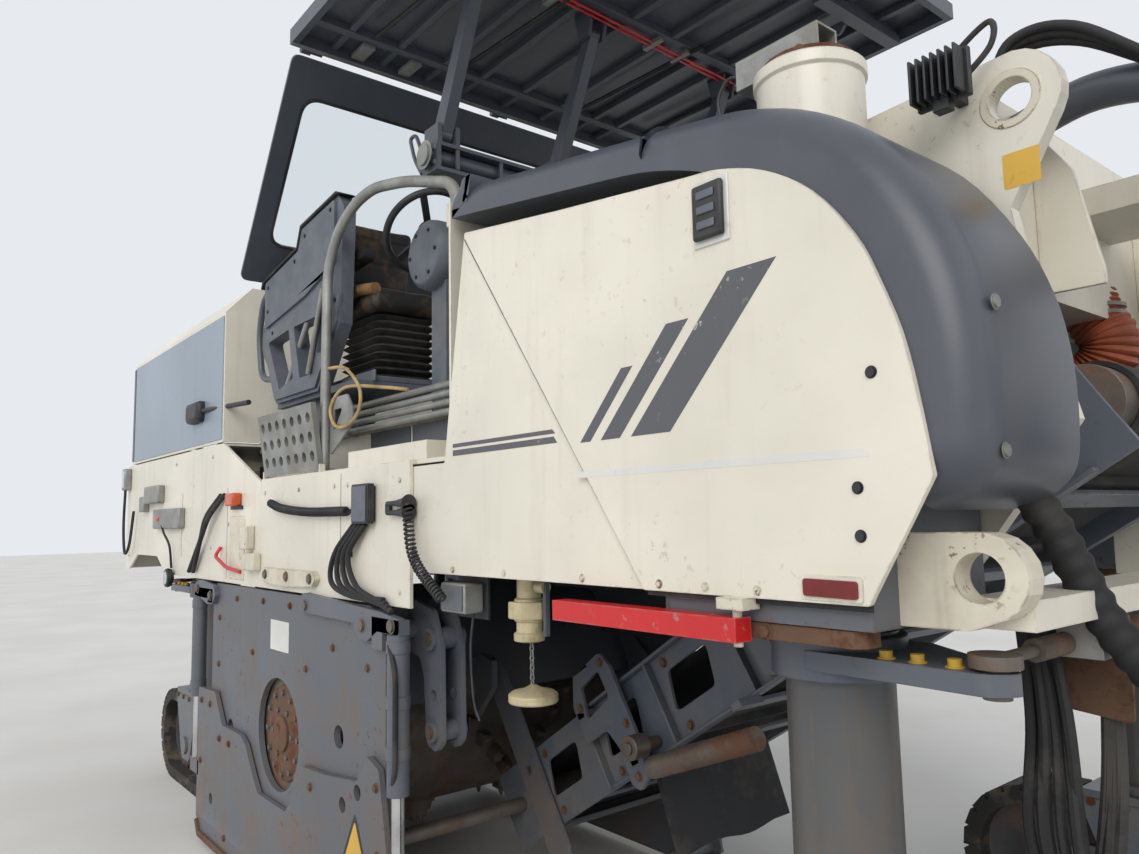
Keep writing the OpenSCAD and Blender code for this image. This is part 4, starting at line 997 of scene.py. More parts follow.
    def marks(self) -> None:
        """Lays plain stripes, blank labels and round caps on the panels."""
        for side, way in SIDES:
            wide = Shape()
            for x, width, low, high in ((2070, 40, 1790, 1960), (2150, 70, 1790, 2040), (2260, 130, 1790, 2120)):
                lean = 0.95
                wide.slab([(x, low), (x + width, low), (x + width + lean * (high - low), high),
                           (x + lean * (high - low), high)], way * SKIN_Y, way * (SKIN_Y + 0.7))
            wide.make(f"slanted_stripes_{side}", Finish.DARK_STRIPE, smooth=False)
            thin = Shape()
            for low, high in ((1826, 1838), (1800, 1818)):
                thin.slab([(1424, low), (1960 - (low - 1790) * 0.3, low), (1950 - (high - 1790) * 0.3, high),
                           (1424, high)], way * 1236, way * 1236.7)
            thin.make(f"double_line_{side}", Finish.DARK_STRIPE, smooth=False)
            pale = Shape().slab([(2060, 1700), (2890, 1700), (2880, 1716), (2050, 1716)], way * SKIN_Y,
                                way * (SKIN_Y + 0.6))
            pale.make(f"pale_line_{side}", Finish.WHITE, smooth=False)
            marker = Shape().box((2486, 2588), span(way * SKIN_Y, way * (SKIN_Y + 5)), (2188, 2338))
            marker.make(f"marker_base_{side}", Finish.WHITE, bevel=4)
            lamp = Shape().box((2494, 2580), span(way * (SKIN_Y + 5), way * (SKIN_Y + 20)), (2200, 2326))
            lamp.make(f"marker_body_{side}", Finish.BLACK, bevel=8)
            lens = Shape()
            for z in (2222, 2256, 2290):
                lens.box((2512, 2562), span(way * (SKIN_Y + 20), way * (SKIN_Y + 24)), (z, z + 18))
            lens.make(f"marker_lens_{side}", Finish.GREY, bevel=3)
            base = Shape().slab(rounded([(2728, 1436), (2862, 1434), (2862, 1482), (2728, 1484)], 8), way * SKIN_Y,
                                way * (SKIN_Y + 3))
            base.make(f"reflector_base_{side}", Finish.CREAM, bevel=1)
            glow = Shape().slab(rounded([(2736, 1443), (2853, 1441), (2853, 1474), (2736, 1476)], 7),
                                way * (SKIN_Y + 3), way * (SKIN_Y + 9))
            glow.make(f"reflector_{side}", Finish.LENS_RED, bevel=2)
            caps = side_spots(way * SKIN_Y, way, (2901, 1853), (2861, 1644), (2862, 1556))
            fasteners(f"panel_caps_{side}", caps, 9, 6, Finish.BLACK, sides=20)
            edge = side_spots(way * SKIN_Y, way, *((x, 1446) for x in (2340, 2480, 2620)))
            edge += side_spots(way * 1236, way, *((x, 1446) for x in (1200, 1420, 1700, 2050)))
            fasteners(f"panel_screws_{side}", edge, 8, 5, Finish.CREAM_WORN)

    def sleeves(self) -> None:
        """Builds the sleeves over the leg columns, the front ones with a flange and an open tube on top."""
        shape = Shape()
        rust = Shape()
        tops = Shape()
        for y in (-LEG_Y, LEG_Y):
            shape.turned([(self.sleeve, 2250), (self.sleeve, 2612), (self.sleeve + 7, 2618), (self.sleeve + 7, 2645),
                          (self.sleeve - 2, 2652), (0, 2652)], (FRONT_LEG_X, y))
            rust.turned([(112, 2652), (112, 2668), (84, 2672), (0, 2672)], (FRONT_LEG_X, y))
            shape.turned([(LEG_RADIUS + 24, 1620), (LEG_RADIUS + 24, 1950), (0, 1950)], (REAR_LEG_X, y))
            tops.slab(oblong(y - 40, 2672, y + 40, 2750), 2410, 2655, "x",
                      holes=[oblong(y - 34, 2678, y + 34, 2744)])
        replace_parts(shape.make("leg_sleeves", Finish.CREAM, bevel=1), "leg_stubs")
        rust.make("sleeve_flanges", Finish.RUST)
        tops.make("sleeve_tubes", Finish.ZINC, bevel=1)
        bolts = [spot for y in (-LEG_Y, LEG_Y) for spot in top_spots(2670, *circle(FRONT_LEG_X, y, 98, 8, 0.5))]
        fasteners("sleeve_bolts", bolts, 8, 6, Finish.RUST)
        loop = curved([(2392, -968, 2540), (2356, -975, 2600), (2340, -978, 2680), (2372, -972, 2728),
                       (2415, -962, 2716)])
        Shape().tube(loop, 5, 8).make("sleeve_wire", Finish.BLACK)

    def build(self) -> None:
        """Builds the bodywork."""
        self.covers()
        self.panels()
        self.sleeves()


@dataclass
class Leg:
    """One steered leg, whose arm reaches forward where way is 1 and back where it is -1."""

    name: str
    x: float
    y: float
    top: float
    arm_z: float
    way: int
    foot: float = 565.0
    yoke: float = 156.0
    axle_z: float = 275.0
    wheel_x: float = 390.0

    @property
    def body(self) -> str:
        """Returns the name of the body that turns with the leg."""
        return f"{self.name}_leg"

    def column(self) -> None:
        """Builds the column with its keyway."""
        x, y, r = self.x, self.y, LEG_RADIUS
        notch = [(x + 15, y - r + 10), (x - 15, y - r + 10)]
        turn = [math.radians(-90 + 8 + 344 * k / 46) for k in range(47)]
        outline = [(x + r * math.cos(t), y + r * math.sin(t)) for t in turn] + notch
        column = Shape().slab(outline, self.foot + 30, self.top, "z")
        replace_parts(column.make(f"column_{self.name}", Finish.COLUMN, self.body, bevel=1), f"leg_{self.name}")

    def frame(self) -> None:
        """Builds the hub, the steering arm, the yoke and the track frame."""
        x, y, way, foot, high = self.x, self.y, self.way, self.foot, self.arm_z
        rest = Shape()
        for z0, z1, size in ((high - 45, high + 45, LEG_RADIUS + 30), (high + 45, high + 56, LEG_RADIUS + 12),
                             (foot + 30, foot + 62, LEG_RADIUS + 20)):
            rest.turned([(size - 3, z0), (size, z0 + 3), (size, z1 - 3), (size - 3, z1)], (x, y))
        arm = [(x, y - 150), (x + way * 200, y - 150), (x + way * 405, y - 162), (x + way * 452, y - 110),
               (x + way * 405, y - 58), (x + way * 150, y + 130), (x, y + 150)]
        eye = circle(x + way * 400, y - 110, 25.5, 24)
        rest.slab(rounded(arm, 30), high - 20, high + 20, "z", holes=[eye])
        rest.box((x - 200, x + 200), (y - self.yoke, y + self.yoke), (foot, foot + 30))
        cheek = [(x - 200, foot + 2), (x + 200, foot + 2), (x + 200, foot - 40), (x + 90, 215), (x + 60, 190),
                 (x - 60, 190), (x - 90, 215), (x - 200, foot - 40)]
        for side in (-1, 1):
            rest.slab(cheek, y + side * self.yoke, y + side * (self.yoke - 20))
        rest.rod((x, y - self.yoke - 15, self.axle_z), (x, y + self.yoke + 15, self.axle_z), 50, sides=28)
        rest.slab(rounded([(x - 330, 165), (x + 330, 165), (x + 350, 300), (x + 250, 365), (x - 250, 365),
                           (x - 350, 300)], 30), y - 60, y + 60)
        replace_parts(rest.make(f"leg_frame_{self.name}", Finish.SLATE, self.body, bevel=3), f"leg_{self.name}")

    def wheels(self) -> None:
        """Builds the end wheels and the rollers between them."""
        x, y = self.x, self.y
        wheels = Shape()
        for side in (-1, 1):
            wheels.turned(both_ways(y, (60, 58), (70, 55), (110, 42), (190, 42), (208, 55)),
                          (x + side * self.wheel_x, self.axle_z), "y")
        for k in (-1.5, -0.5, 0.5, 1.5):
            wheels.turned(both_ways(y, (50, 70), (62, 64), (62, 20), (48, 16)), (x + k * 200, 129.5), "y", 28)
        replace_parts(wheels.make(f"wheels_{self.name}", Finish.IRON, self.body), f"leg_{self.name}")

    def bolts(self) -> None:
        """Builds the arm's caps and the bolts of hub and yoke."""
        x, y, way = self.x, self.y, self.way
        caps = top_spots(self.arm_z + 20, *((x + way * 400 - way * 150 * k, y - 128 + 5 * k)
                                            for k in (0.45, 0.95, 1.4)))
        fasteners(f"arm_caps_{self.name}", caps, 13, 16, Finish.YELLOW_CAP, self.body, sides=16)
        ring = top_spots(self.arm_z + 56, *circle(x, y, LEG_RADIUS + 8, 8, 0.5))
        fasteners(f"hub_bolts_{self.name}", ring, 7, 7, Finish.RUST, self.body)
        yoke = [((x + dx, y + side * self.yoke, self.foot - 12), (0, side, 0)) for side in (-1, 1)
                for dx in (-170, -60, 60, 170)]
        fasteners(f"yoke_bolts_{self.name}", yoke, 12, 9, Finish.RUST, self.body)

    def build(self) -> None:
        """Builds the leg."""
        self.column()
        self.frame()
        self.wheels()
        self.bolts()


@dataclass
class Legs:
    """The four legs and the flanges of the front ones."""

    pairs: tuple[tuple[str, float, float, float, int], ...] = (("front", FRONT_LEG_X, 2600, 1290, 1),
                                                               ("rear", REAR_LEG_X, 1900, 1200, -1))

    def build(self) -> None:
        """Builds the legs."""
        for end, x, top, arm_z, way in self.pairs:
            for side, out in SIDES:
                Leg(f"{end}_{side}", x, out * LEG_Y, top, arm_z, way).build()
        clamp = Shape()
        for way in (-1, 1):
            clamp.slab([(2440, way * 1215), (2810, way * 1215), (2830, way * 1195), (2830, way * 1150),
                        (2440, way * 1150)], 1344, 1378, "z")
            clamp.turned([(124, 1356), (170, 1356), (170, 1379), (124, 1379), (124, 1356)],
                         (FRONT_LEG_X, way * LEG_Y))
        clamp.make("head_flanges", Finish.RUST, bevel=2)
        bolts = [((x, way * 1215, 1361), (0, way, 0)) for x in (2500, 2610) for way in (-1, 1)]
        fasteners("head_bolts", bolts, 13, 10, Finish.RUST)


@dataclass
class Cushion:
    """A padded part that is blown up by a short cloth simulation."""

    name: str
    low: Point
    high: Point
    lean: float = 0.0
    fill: float = 0.7
    seams: tuple[float, ...] = ()
    inset: float = 14.0
    corner: float = 0.028
    voxel: float = 0.009
    pressure: float = 4.0
    frames: int = 20
    swell: float = 0.011
    seam_half: float = 0.02
    seam_depth: float = 0.006

    def build(self) -> None:
        """Builds the cushion inside the space of its CAD solid."""
        lean = math.radians(self.lean)
        flat = Shape()
        cells = [(self.low[i] + self.inset, self.high[i] - self.inset) for i in range(3)]
        flat.box(*cells)
        for vert in flat.mesh.verts:
            x, z = vert.co.x - at(*self.low).x, vert.co.z - at(*self.low).z
            vert.co.x = at(*self.low).x + x * math.cos(lean) - z * math.sin(lean)
            vert.co.z = at(*self.low).z + x * math.sin(lean) + z * math.cos(lean)
        bmesh.ops.recalc_face_normals(flat.mesh, faces=flat.mesh.faces)
        data = bpy.data.meshes.new(self.name)
        flat.mesh.to_mesh(data)
        flat.mesh.free()
        pad = placed("pad", data)
        soft = pad.modifiers.new("soft", "BEVEL")
        soft.width, soft.segments = self.corner, 4
        grid = pad.modifiers.new("grid", "REMESH")
        grid.mode, grid.voxel_size = "VOXEL", self.voxel
        data = pad.data = baked(pad)
        start = [v.co.copy() for v in data.vertices]
        cloth = pad.modifiers.new("cloth", "CLOTH")
        cloth.settings.use_pressure = True
        cloth.settings.uniform_pressure_force = self.pressure
        cloth.settings.effector_weights.gravity = 0.0
        for number in range(1, self.frames + 1):
            bpy.context.scene.frame_set(number)
        data = baked(pad)
        bpy.context.scene.frame_set(1)
        bpy.data.objects.remove(pad)
        for vert, first in zip(data.vertices, start):
            move = vert.co - first
            if move.length > self.swell:
                vert.co = first + move.normalized() * self.swell
        self.sew(data)
        piece = finish_piece(data, self.name, Finish.SEAT)
        detail = piece.modifiers.new("detail", "SUBSURF")
        detail.levels = detail.render_levels = 1
        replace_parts(piece, "seat_cushions")

    def sew(self, data: bpy.types.Mesh) -> None:
        """Pulls the sewn channels in, across the pad at the given shares of its length."""
        axis = 2 if self.lean else 0
        low, high = at(*self.low)[axis], at(*self.high)[axis]
        normals = [v.normal.copy() for v in data.vertices]
        for vert, normal in zip(data.vertices, normals):
            share = (vert.co[axis] - low) / (high - low)
            for seam in self.seams:
                away = abs(share - seam) * (high - low)
                if away < self.seam_half:
                    vert.co -= normal * self.seam_depth * (1 - away / self.seam_half) ** 2


class OperatorStation:
    """Seats, consoles, handrails and what hangs on them."""

    def seats(self) -> None:
        """Builds the cushions and the bellows under them."""
        for side, way in SIDES:
            y = span(way * 1090, way * 690)
            Cushion(f"seat_base_{side}", (60, y[0], 2482), (560, y[1], 2592), seams=(0.3, 0.62)).build()
            Cushion(f"seat_back_{side}", (75, y[0], 2570), (165, y[1], 2990), -10, 0.6, (0.25, 0.5, 0.75)).build()
            middle = way * 890
            rings = []
            steps = 32
            for k in range(steps + 1):
                swell = math.cos(2 * math.pi * k / 4) * 13
                half = (177 + swell, 137 + swell)
                z = 2206 + (2474 - 2206) * k / steps
                flat = rounded(oblong(310 - half[0], middle - half[1], 310 + half[0], middle + half[1]), 45, 4)
                rings.append([at(x, yy, z) for x, yy in flat])
            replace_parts(Shape().loft(rings).make(f"seat_bellows_{side}", Finish.RUBBER), "seat_bellows")
            tray = Shape().box((98, 522), span(way * 720, way * 1062), (2180, 2204))
            tray.box((80, 540), span(way * 1062, way * 1072), (2178, 2226))
            tray.make(f"seat_tray_{side}", Finish.GREY, bevel=4)
            roll = curved([(90, way * 1066, 2560), (200, way * 1074, 2588), (380, way * 1074, 2590),
                           (535, way * 1064, 2570)])
            Shape().tube(roll, 24, 16).make(f"worn_edge_{side}", Finish.FOAM)
            rest = Shape().slab(rounded([(90, 2700), (470, 2712), (480, 2762), (90, 2752)], 22), way * 1095,
                                way * 1035)
            rest.make(f"arm_pad_{side}", Finish.SEAT, bevel=10)

    def consoles(self) -> None:
        """Builds the side consoles with their rubber-capped tops, panels and grab bars."""
        shell = [(-300, 2170), (-460, 2460), (-480, 2760), (-440, 2800), (-20, 2860), (20, 2950), (400, 2990),
                 (450, 2930), (420, 2430), (200, 2170)]
        holes = [[(-60, 2500), (200, 2500), (150, 2250), (20, 2250)], [(240, 2500), (360, 2500), (330, 2330),
                                                                     (215, 2330)],
                 [(-380, 2480), (-120, 2500), (-60, 2260), (-230, 2230)]]
        panel = [(-440, 2560), (-440, 2790), (-20, 2850), (20, 2940), (380, 2975), (380, 2700), (60, 2620)]
        cap = [(-492, 2770), (-476, 2800), (-440, 2812), (-30, 2870), (12, 2962), (402, 3003), (440, 2985),
               (400, 2990), (20, 2950), (-20, 2860), (-440, 2800)]
        low_panel = [(-290, 2186), (-440, 2462), (-452, 2540), (440, 2556), (410, 2440), (190, 2186)]
        for side, way in SIDES:
            body = Shape().slab(rounded(shell, 22), way * 1115, way * 1172, holes=[rounded(h, 18) for h in holes])
            body.slab(rounded(low_panel, 14), way * 1170, way * 1184, holes=[rounded(h, 12) for h in holes])
            body.box((-340, 520), span(way * 720, way * 1150), (2150, 2180))
            body.box((-250, 120), span(way * 860, way * 1100), (1990, 2150))
            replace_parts(body.make(f"console_{side}", Finish.GREY, bevel=3), "seat_consoles")
            Shape().slab(rounded(panel, 16), way * 1172, way * 1184).make(f"console_panel_{side}", Finish.GREY,
                                                                         bevel=4)
            Shape().slab(cap, way * 1106, way * 1190).make(f"console_cap_{side}", Finish.RUBBER, bevel=3)
            bars = Shape()
            for path in ([(-440, 2770), (-560, 2730), (-612, 2560), (-560, 2330), (-330, 2290)],
                         [(-400, 2640), (-500, 2600), (-520, 2480), (-470, 2400), (-360, 2380)]):
                bars.tube(bent([(x, way * 1150, z) for x, z in path], 70), 16, 14)
            bars.make(f"grab_bars_{side}", Finish.SLATE_CLEAN)
            stay = Shape().tube([(-180, way * 1162, 2240), (60, way * 1162, 2510)], 14, 12)
            stay.tube([(150, way * 1196, 2250), (300, way * 1196, 2600)], 12, 12)
            stay.make(f"console_stays_{side}", Finish.ZINC)
            spots = side_spots(way * 1184, way, (-400, 2640), (-400, 2760), (-60, 2810), (60, 2900), (340, 2940),
                               (340, 2730), (-330, 2520), (400, 2530))
            fasteners(f"console_screws_{side}", spots, 8, 5, Finish.BLACK, sides=14)

    def rails(self) -> None:
        """Builds the handrails with their brackets."""
        path = [(372, 1212, 1808), (380, 1212, 2300), (388, 1212, 2660), (470, 1206, 2800), (600, 1196, 2880),
                (760, 1190, 2900), (1010, 1180, 2850), (1340, 1167, 2740), (1352, 1167, 2560)]
        shape = Shape()
        plates = Shape()
        for way in (-1, 1):
            shape.tube(bent([(x, way * y, z) for x, y, z in path], 90), 21, 18)
            plates.box((340, 404), span(way * 1180, way * 1244), (1805, 1815))
            plates.slab(rounded([(396, 1870), (400, 2110), (560, 2110), (610, 2050), (610, 1990)], 14), way * 1192,
                        way * 1200, holes=[rounded([(430, 1960), (430, 2060), (520, 2060)], 12)])
            plates.box((1330, 1392), span(way * 1150, way * 1190), (2560, 2600))
        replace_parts(shape.make("handrail_tubes", Finish.ZINC), "handrails")
        plates.make("handrail_plates", Finish.ZINC, bevel=1)
        spots = top_spots(1815, *((x, way * y) for way in (-1, 1) for x in (350, 396) for y in (1190, 1236)))
        fasteners("handrail_bolts", spots, 7, 6, Finish.ZINC)

    def recess(self) -> None:
        """Dresses the recess below the floor with dark liners, the bulkhead's rail and a blank sticker."""
        liner = Shape()
        for way in (-1, 1):
            for x0, x1 in ((420, 760), (780, 1120), (1140, 1380)):
                liner.slab(rounded(oblong(x0, 1880, x1, 1974), 10), way * 1022, way * 1028)
        liner.make("recess_liners", Finish.SLATE_CLEAN, bevel=2)
        rail = Shape().box((1372, 1390), (-1226, 1226), (2560, 2640))
        rail.make("bulkhead_rail", Finish.CREAM_WORN, bevel=4)
        sticker = Shape().slab(oblong(-980, 2285, -850, 2375), 1385, 1387.5, "x")
        sticker.make("blank_sticker", Finish.YELLOW, smooth=False)
        spots = [((1387, y, z), (-1, 0, 0)) for y in (-1180, -900, -620, 620, 900, 1180) for z in (1900, 2200, 2500)]
        fasteners("bulkhead_bolts", spots, 8, 5, Finish.CREAM_WORN)

    def pod(self) -> None:
        """Builds the pod of the steering console with its ribs and switches."""
        body = Shape().turned([(70, -1030), (118, -1026), (136, -1008), (140, -980), (140, -812), (132, -786),
                               (110, -772), (60, -770)], (860, 2640), "y")
        body.box((836, 944), (-974, -826), (1995, 2560))
        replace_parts(body.make("steering_pod", Finish.GREY, bevel=4), "steering_console")
        stem = Shape().rod((752, -900, 2738), (676, -900, 2814), 26).rod((860, -900, 2640), (752, -900, 2738), 40)
        stem.make("steering_stem", Finish.BLACK)
        fasteners("pod_screws", side_spots(-1030, -1, *circle(860, 2640, 96, 6)), 6, 4, Finish.BLACK, sides=12)

    def rope(self) -> None:
        """Hangs the rope loop over the tubes beside the floor."""
        path = curved([(398, -1208, 2236), (560, -1210, 2212), (690, -1210, 2120), (690, -1210, 2030),
                       (590, -1210, 1980), (470, -1210, 1990), (420, -1208, 2070), (520, -1190, 2142),
                       (740, -1136, 2118), (900, -1112, 2090)], 4)
        piece = Shape().tube(path, 7, 10).make("rope_loop", Finish.ROPE)

    def build(self) -> None:
        """Builds the operator's station."""
        self.rope()
        self.seats()
        self.consoles()
        self.rails()
        self.recess()
        self.pod()


@dataclass
class DrumSide:
    """The edge plates, levers, link arms, clamps and hub at the sides of the drum housing."""

    sides: tuple[tuple[str, float, int, float], ...] = (("right", -SKIN_Y, -1, 425.0), ("left", 300.0, 1, 150.0))

    def edge_plate(self, side: str, face: float, way: int, dip: float) -> None:
        """Builds one edge plate with its rods.

        Args:
            side: which side it is on, which starts the name of the body that slides with it.
            face: the housing's outer face.
            way: the way out from there.
            dip: how low its upper edge dips in front of the hub.
        """
        body = f"{side}_edge_protector"
        outline = [(-1060, 300), (-1060, 120), (-990, 30), (990, 30), (1060, 120), (1060, 500), (1000, 763),
                   (900, 793), (830, 690), (560, 655), (330, 640), (250, 590), (235, dip + 70), (160, dip),
                   (-160, dip), (-235, dip + 70), (-330, 600), (-400, 629), (-667, 629), (-790, 770), (-1060, 760)]
        holes = [circle(x, z, 27) for x, z in ((712, 582), (835, 652), (-820, 250), (820, 250))]
        plate = Shape().slab(rounded(outline, 26, 4), face + way * 6, face + way * 26, holes=holes)
        rods = Shape()
        for x, lug in ((-1140, (-1185, -1040)), (1100, (1040, 1145))):
            plate.box(lug, span(face + way * 26, face - way * 20), (316, 386))
            rods.rod((x, face + way * 5, 385), (x, face + way * 5, 819), 22, sides=24)
        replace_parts(plate.make(f"edge_skirt_{side}", Finish.SLATE_RUSTY, body, bevel=2), f"edge_plate_{side}")
        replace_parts(rods.make(f"edge_rods_{side}", Finish.CHROME, body), f"edge_plate_{side}")
        skid = Shape().slab([(-990, 32), (990, 32), (1040, 100), (1020, 110), (980, 62), (-980, 62), (-1020, 110),
                             (-1040, 100)], face + way * 26, face + way * 40)
        skid.make(f"edge_skid_{side}", Finish.RUST, body, bevel=2)
        spots = side_spots(face + way * 26, way, (-1000, 700), (-860, 700), (-1000, 400), (-700, 560), (-560, 560),
                           (420, 580), (980, 700), (990, 480), (-600, 120), (0, 120), (600, 120))
        fasteners(f"edge_bolts_{side}", spots, 13, 9, Finish.RUST, body)

    def levers(self, side: str, face: float, way: int) -> None:
        """Builds what is bolted to the housing's outer face on one side."""
        outer = face + way * 25
        shape = Shape()
        for outline in ([(-1190, 1225), (-1190, 1280), (-1120, 1306), (-860, 1290), (-830, 1240), (-870, 1195),
                         (-960, 1190), (-1100, 1221)],
                        [(280, 1240), (280, 1296), (330, 1318), (1000, 1290), (1140, 1275), (1140, 1221),
                         (980, 1221), (900, 1180), (840, 1180), (780, 1236)]):
            shape.slab(rounded(outline, 16, 4), face + way * 0.5, outer)
        for x, z in ((-1140, 760), (-1140, 1180), (1100, 835), (1100, 1000), (1100, 1180)):
            shape.turned([*both_ways(z, (38, 22), (41, 20)), (38, z - 22)], (x, face + way * 5), "z", 24)
        shape.make(f"edge_levers_{side}", Finish.SLATE, bevel=3)
        pins = side_spots(outer, way, (860, 1232), (340, 1268), (-910, 1235), (-1130, 1262), (1085, 1248))
        fasteners(f"lever_pins_{side}", pins, 20, 8, Finish.WORN_STEEL, sides=20)
        bolts = side_spots(face, way, (-820, 1130), (-820, 900), (-820, 500), (-560, 1240), (-200, 1250), (120, 1250),
                           (860, 1080), (900, 700), (560, 1120), (-600, 620), (-330, 1010), (300, 1010))
        fasteners(f"housing_bolts_{side}", bolts, 12, 8, Finish.RUST)
        hose = bent([(1100, face + way * 38, 1190), (1145, face + way * 40, 1100), (1140, face + way * 38, 800),
                     (1108, face + way * 30, 730)], 60)
        Shape().tube(hose, 9, 10).make(f"cylinder_hose_{side}", Finish.RUBBER)

    def hub(self) -> None:
        """Builds the hub disc of the drum and the link arms in front of the housing."""
        disc = Shape().turned([(60, -1243), (74, -1240), (74, -1228), (150, -1226), (196, -1224), (200, -1221),
                               (200, -1219.5), (0, -1219.5)], (0, 700), "y", 48)
        disc.make("hub_disc", Finish.RUST, "drum", bevel=1)
        ring = side_spots(-1226, -1, *circle(0, 700, 170, 12), *circle(0, 700, 105, 6))
        fasteners("hub_bolts", ring, 13, 10, Finish.WORN_STEEL, "drum")
        arms = Shape()
        for y in (-1120, -1040):
            arms.slab(rounded([(905, 1180), (900, 1290), (960, 1320), (1090, 1290), (1145, 1170), (1150, 850),
                               (1110, 815), (1050, 830), (1030, 1060), (1000, 1120), (940, 1130)], 26, 4), y, y + 20,
                      holes=[circle(1098, 1000, 20)])
        arms.rod((950, -1226, 1215), (950, -1010, 1215), 34, sides=24)
        arms.rod((1090, -1135, 1190), (1090, -1005, 1190), 38, sides=24)
        arms.rod((1100, -1135, 880), (1100, -1005, 880), 34, sides=24)
        arms.box((820, 920), (-1226, -1100), (1150, 1290))
        arms.make("link_arms", Finish.SLATE, bevel=3)
        pins = side_spots(-1135, -1, (1090, 1190), (1100, 880), (950, 1215))
        fasteners("link_pins", pins, 18, 8, Finish.WORN_STEEL, sides=20)
        Shape().slab(rounded(oblong(-103, 1050, 110, 1178), 4), -1250, -1250.8).make(
            "blank_label", Finish.WHITE, smooth=False)
        Shape().slab(rounded([(716, 400), (924, 400), (820, 584)], 14), -1276, -1276.8).make(
            "sign_border", Finish.BLACK, "right_edge_protector", smooth=False)
        Shape().slab(rounded([(742, 415), (898, 415), (820, 553)], 8), -1276.8, -1277.4).make(
            "blank_triangle", Finish.YELLOW, "right_edge_protector", smooth=False)

    def build(self) -> None:
        """Builds both sides."""
        for side, face, way, dip in self.sides:
            self.edge_plate(side, face, way, dip)
            self.levers(side, face, way)
        self.hub()


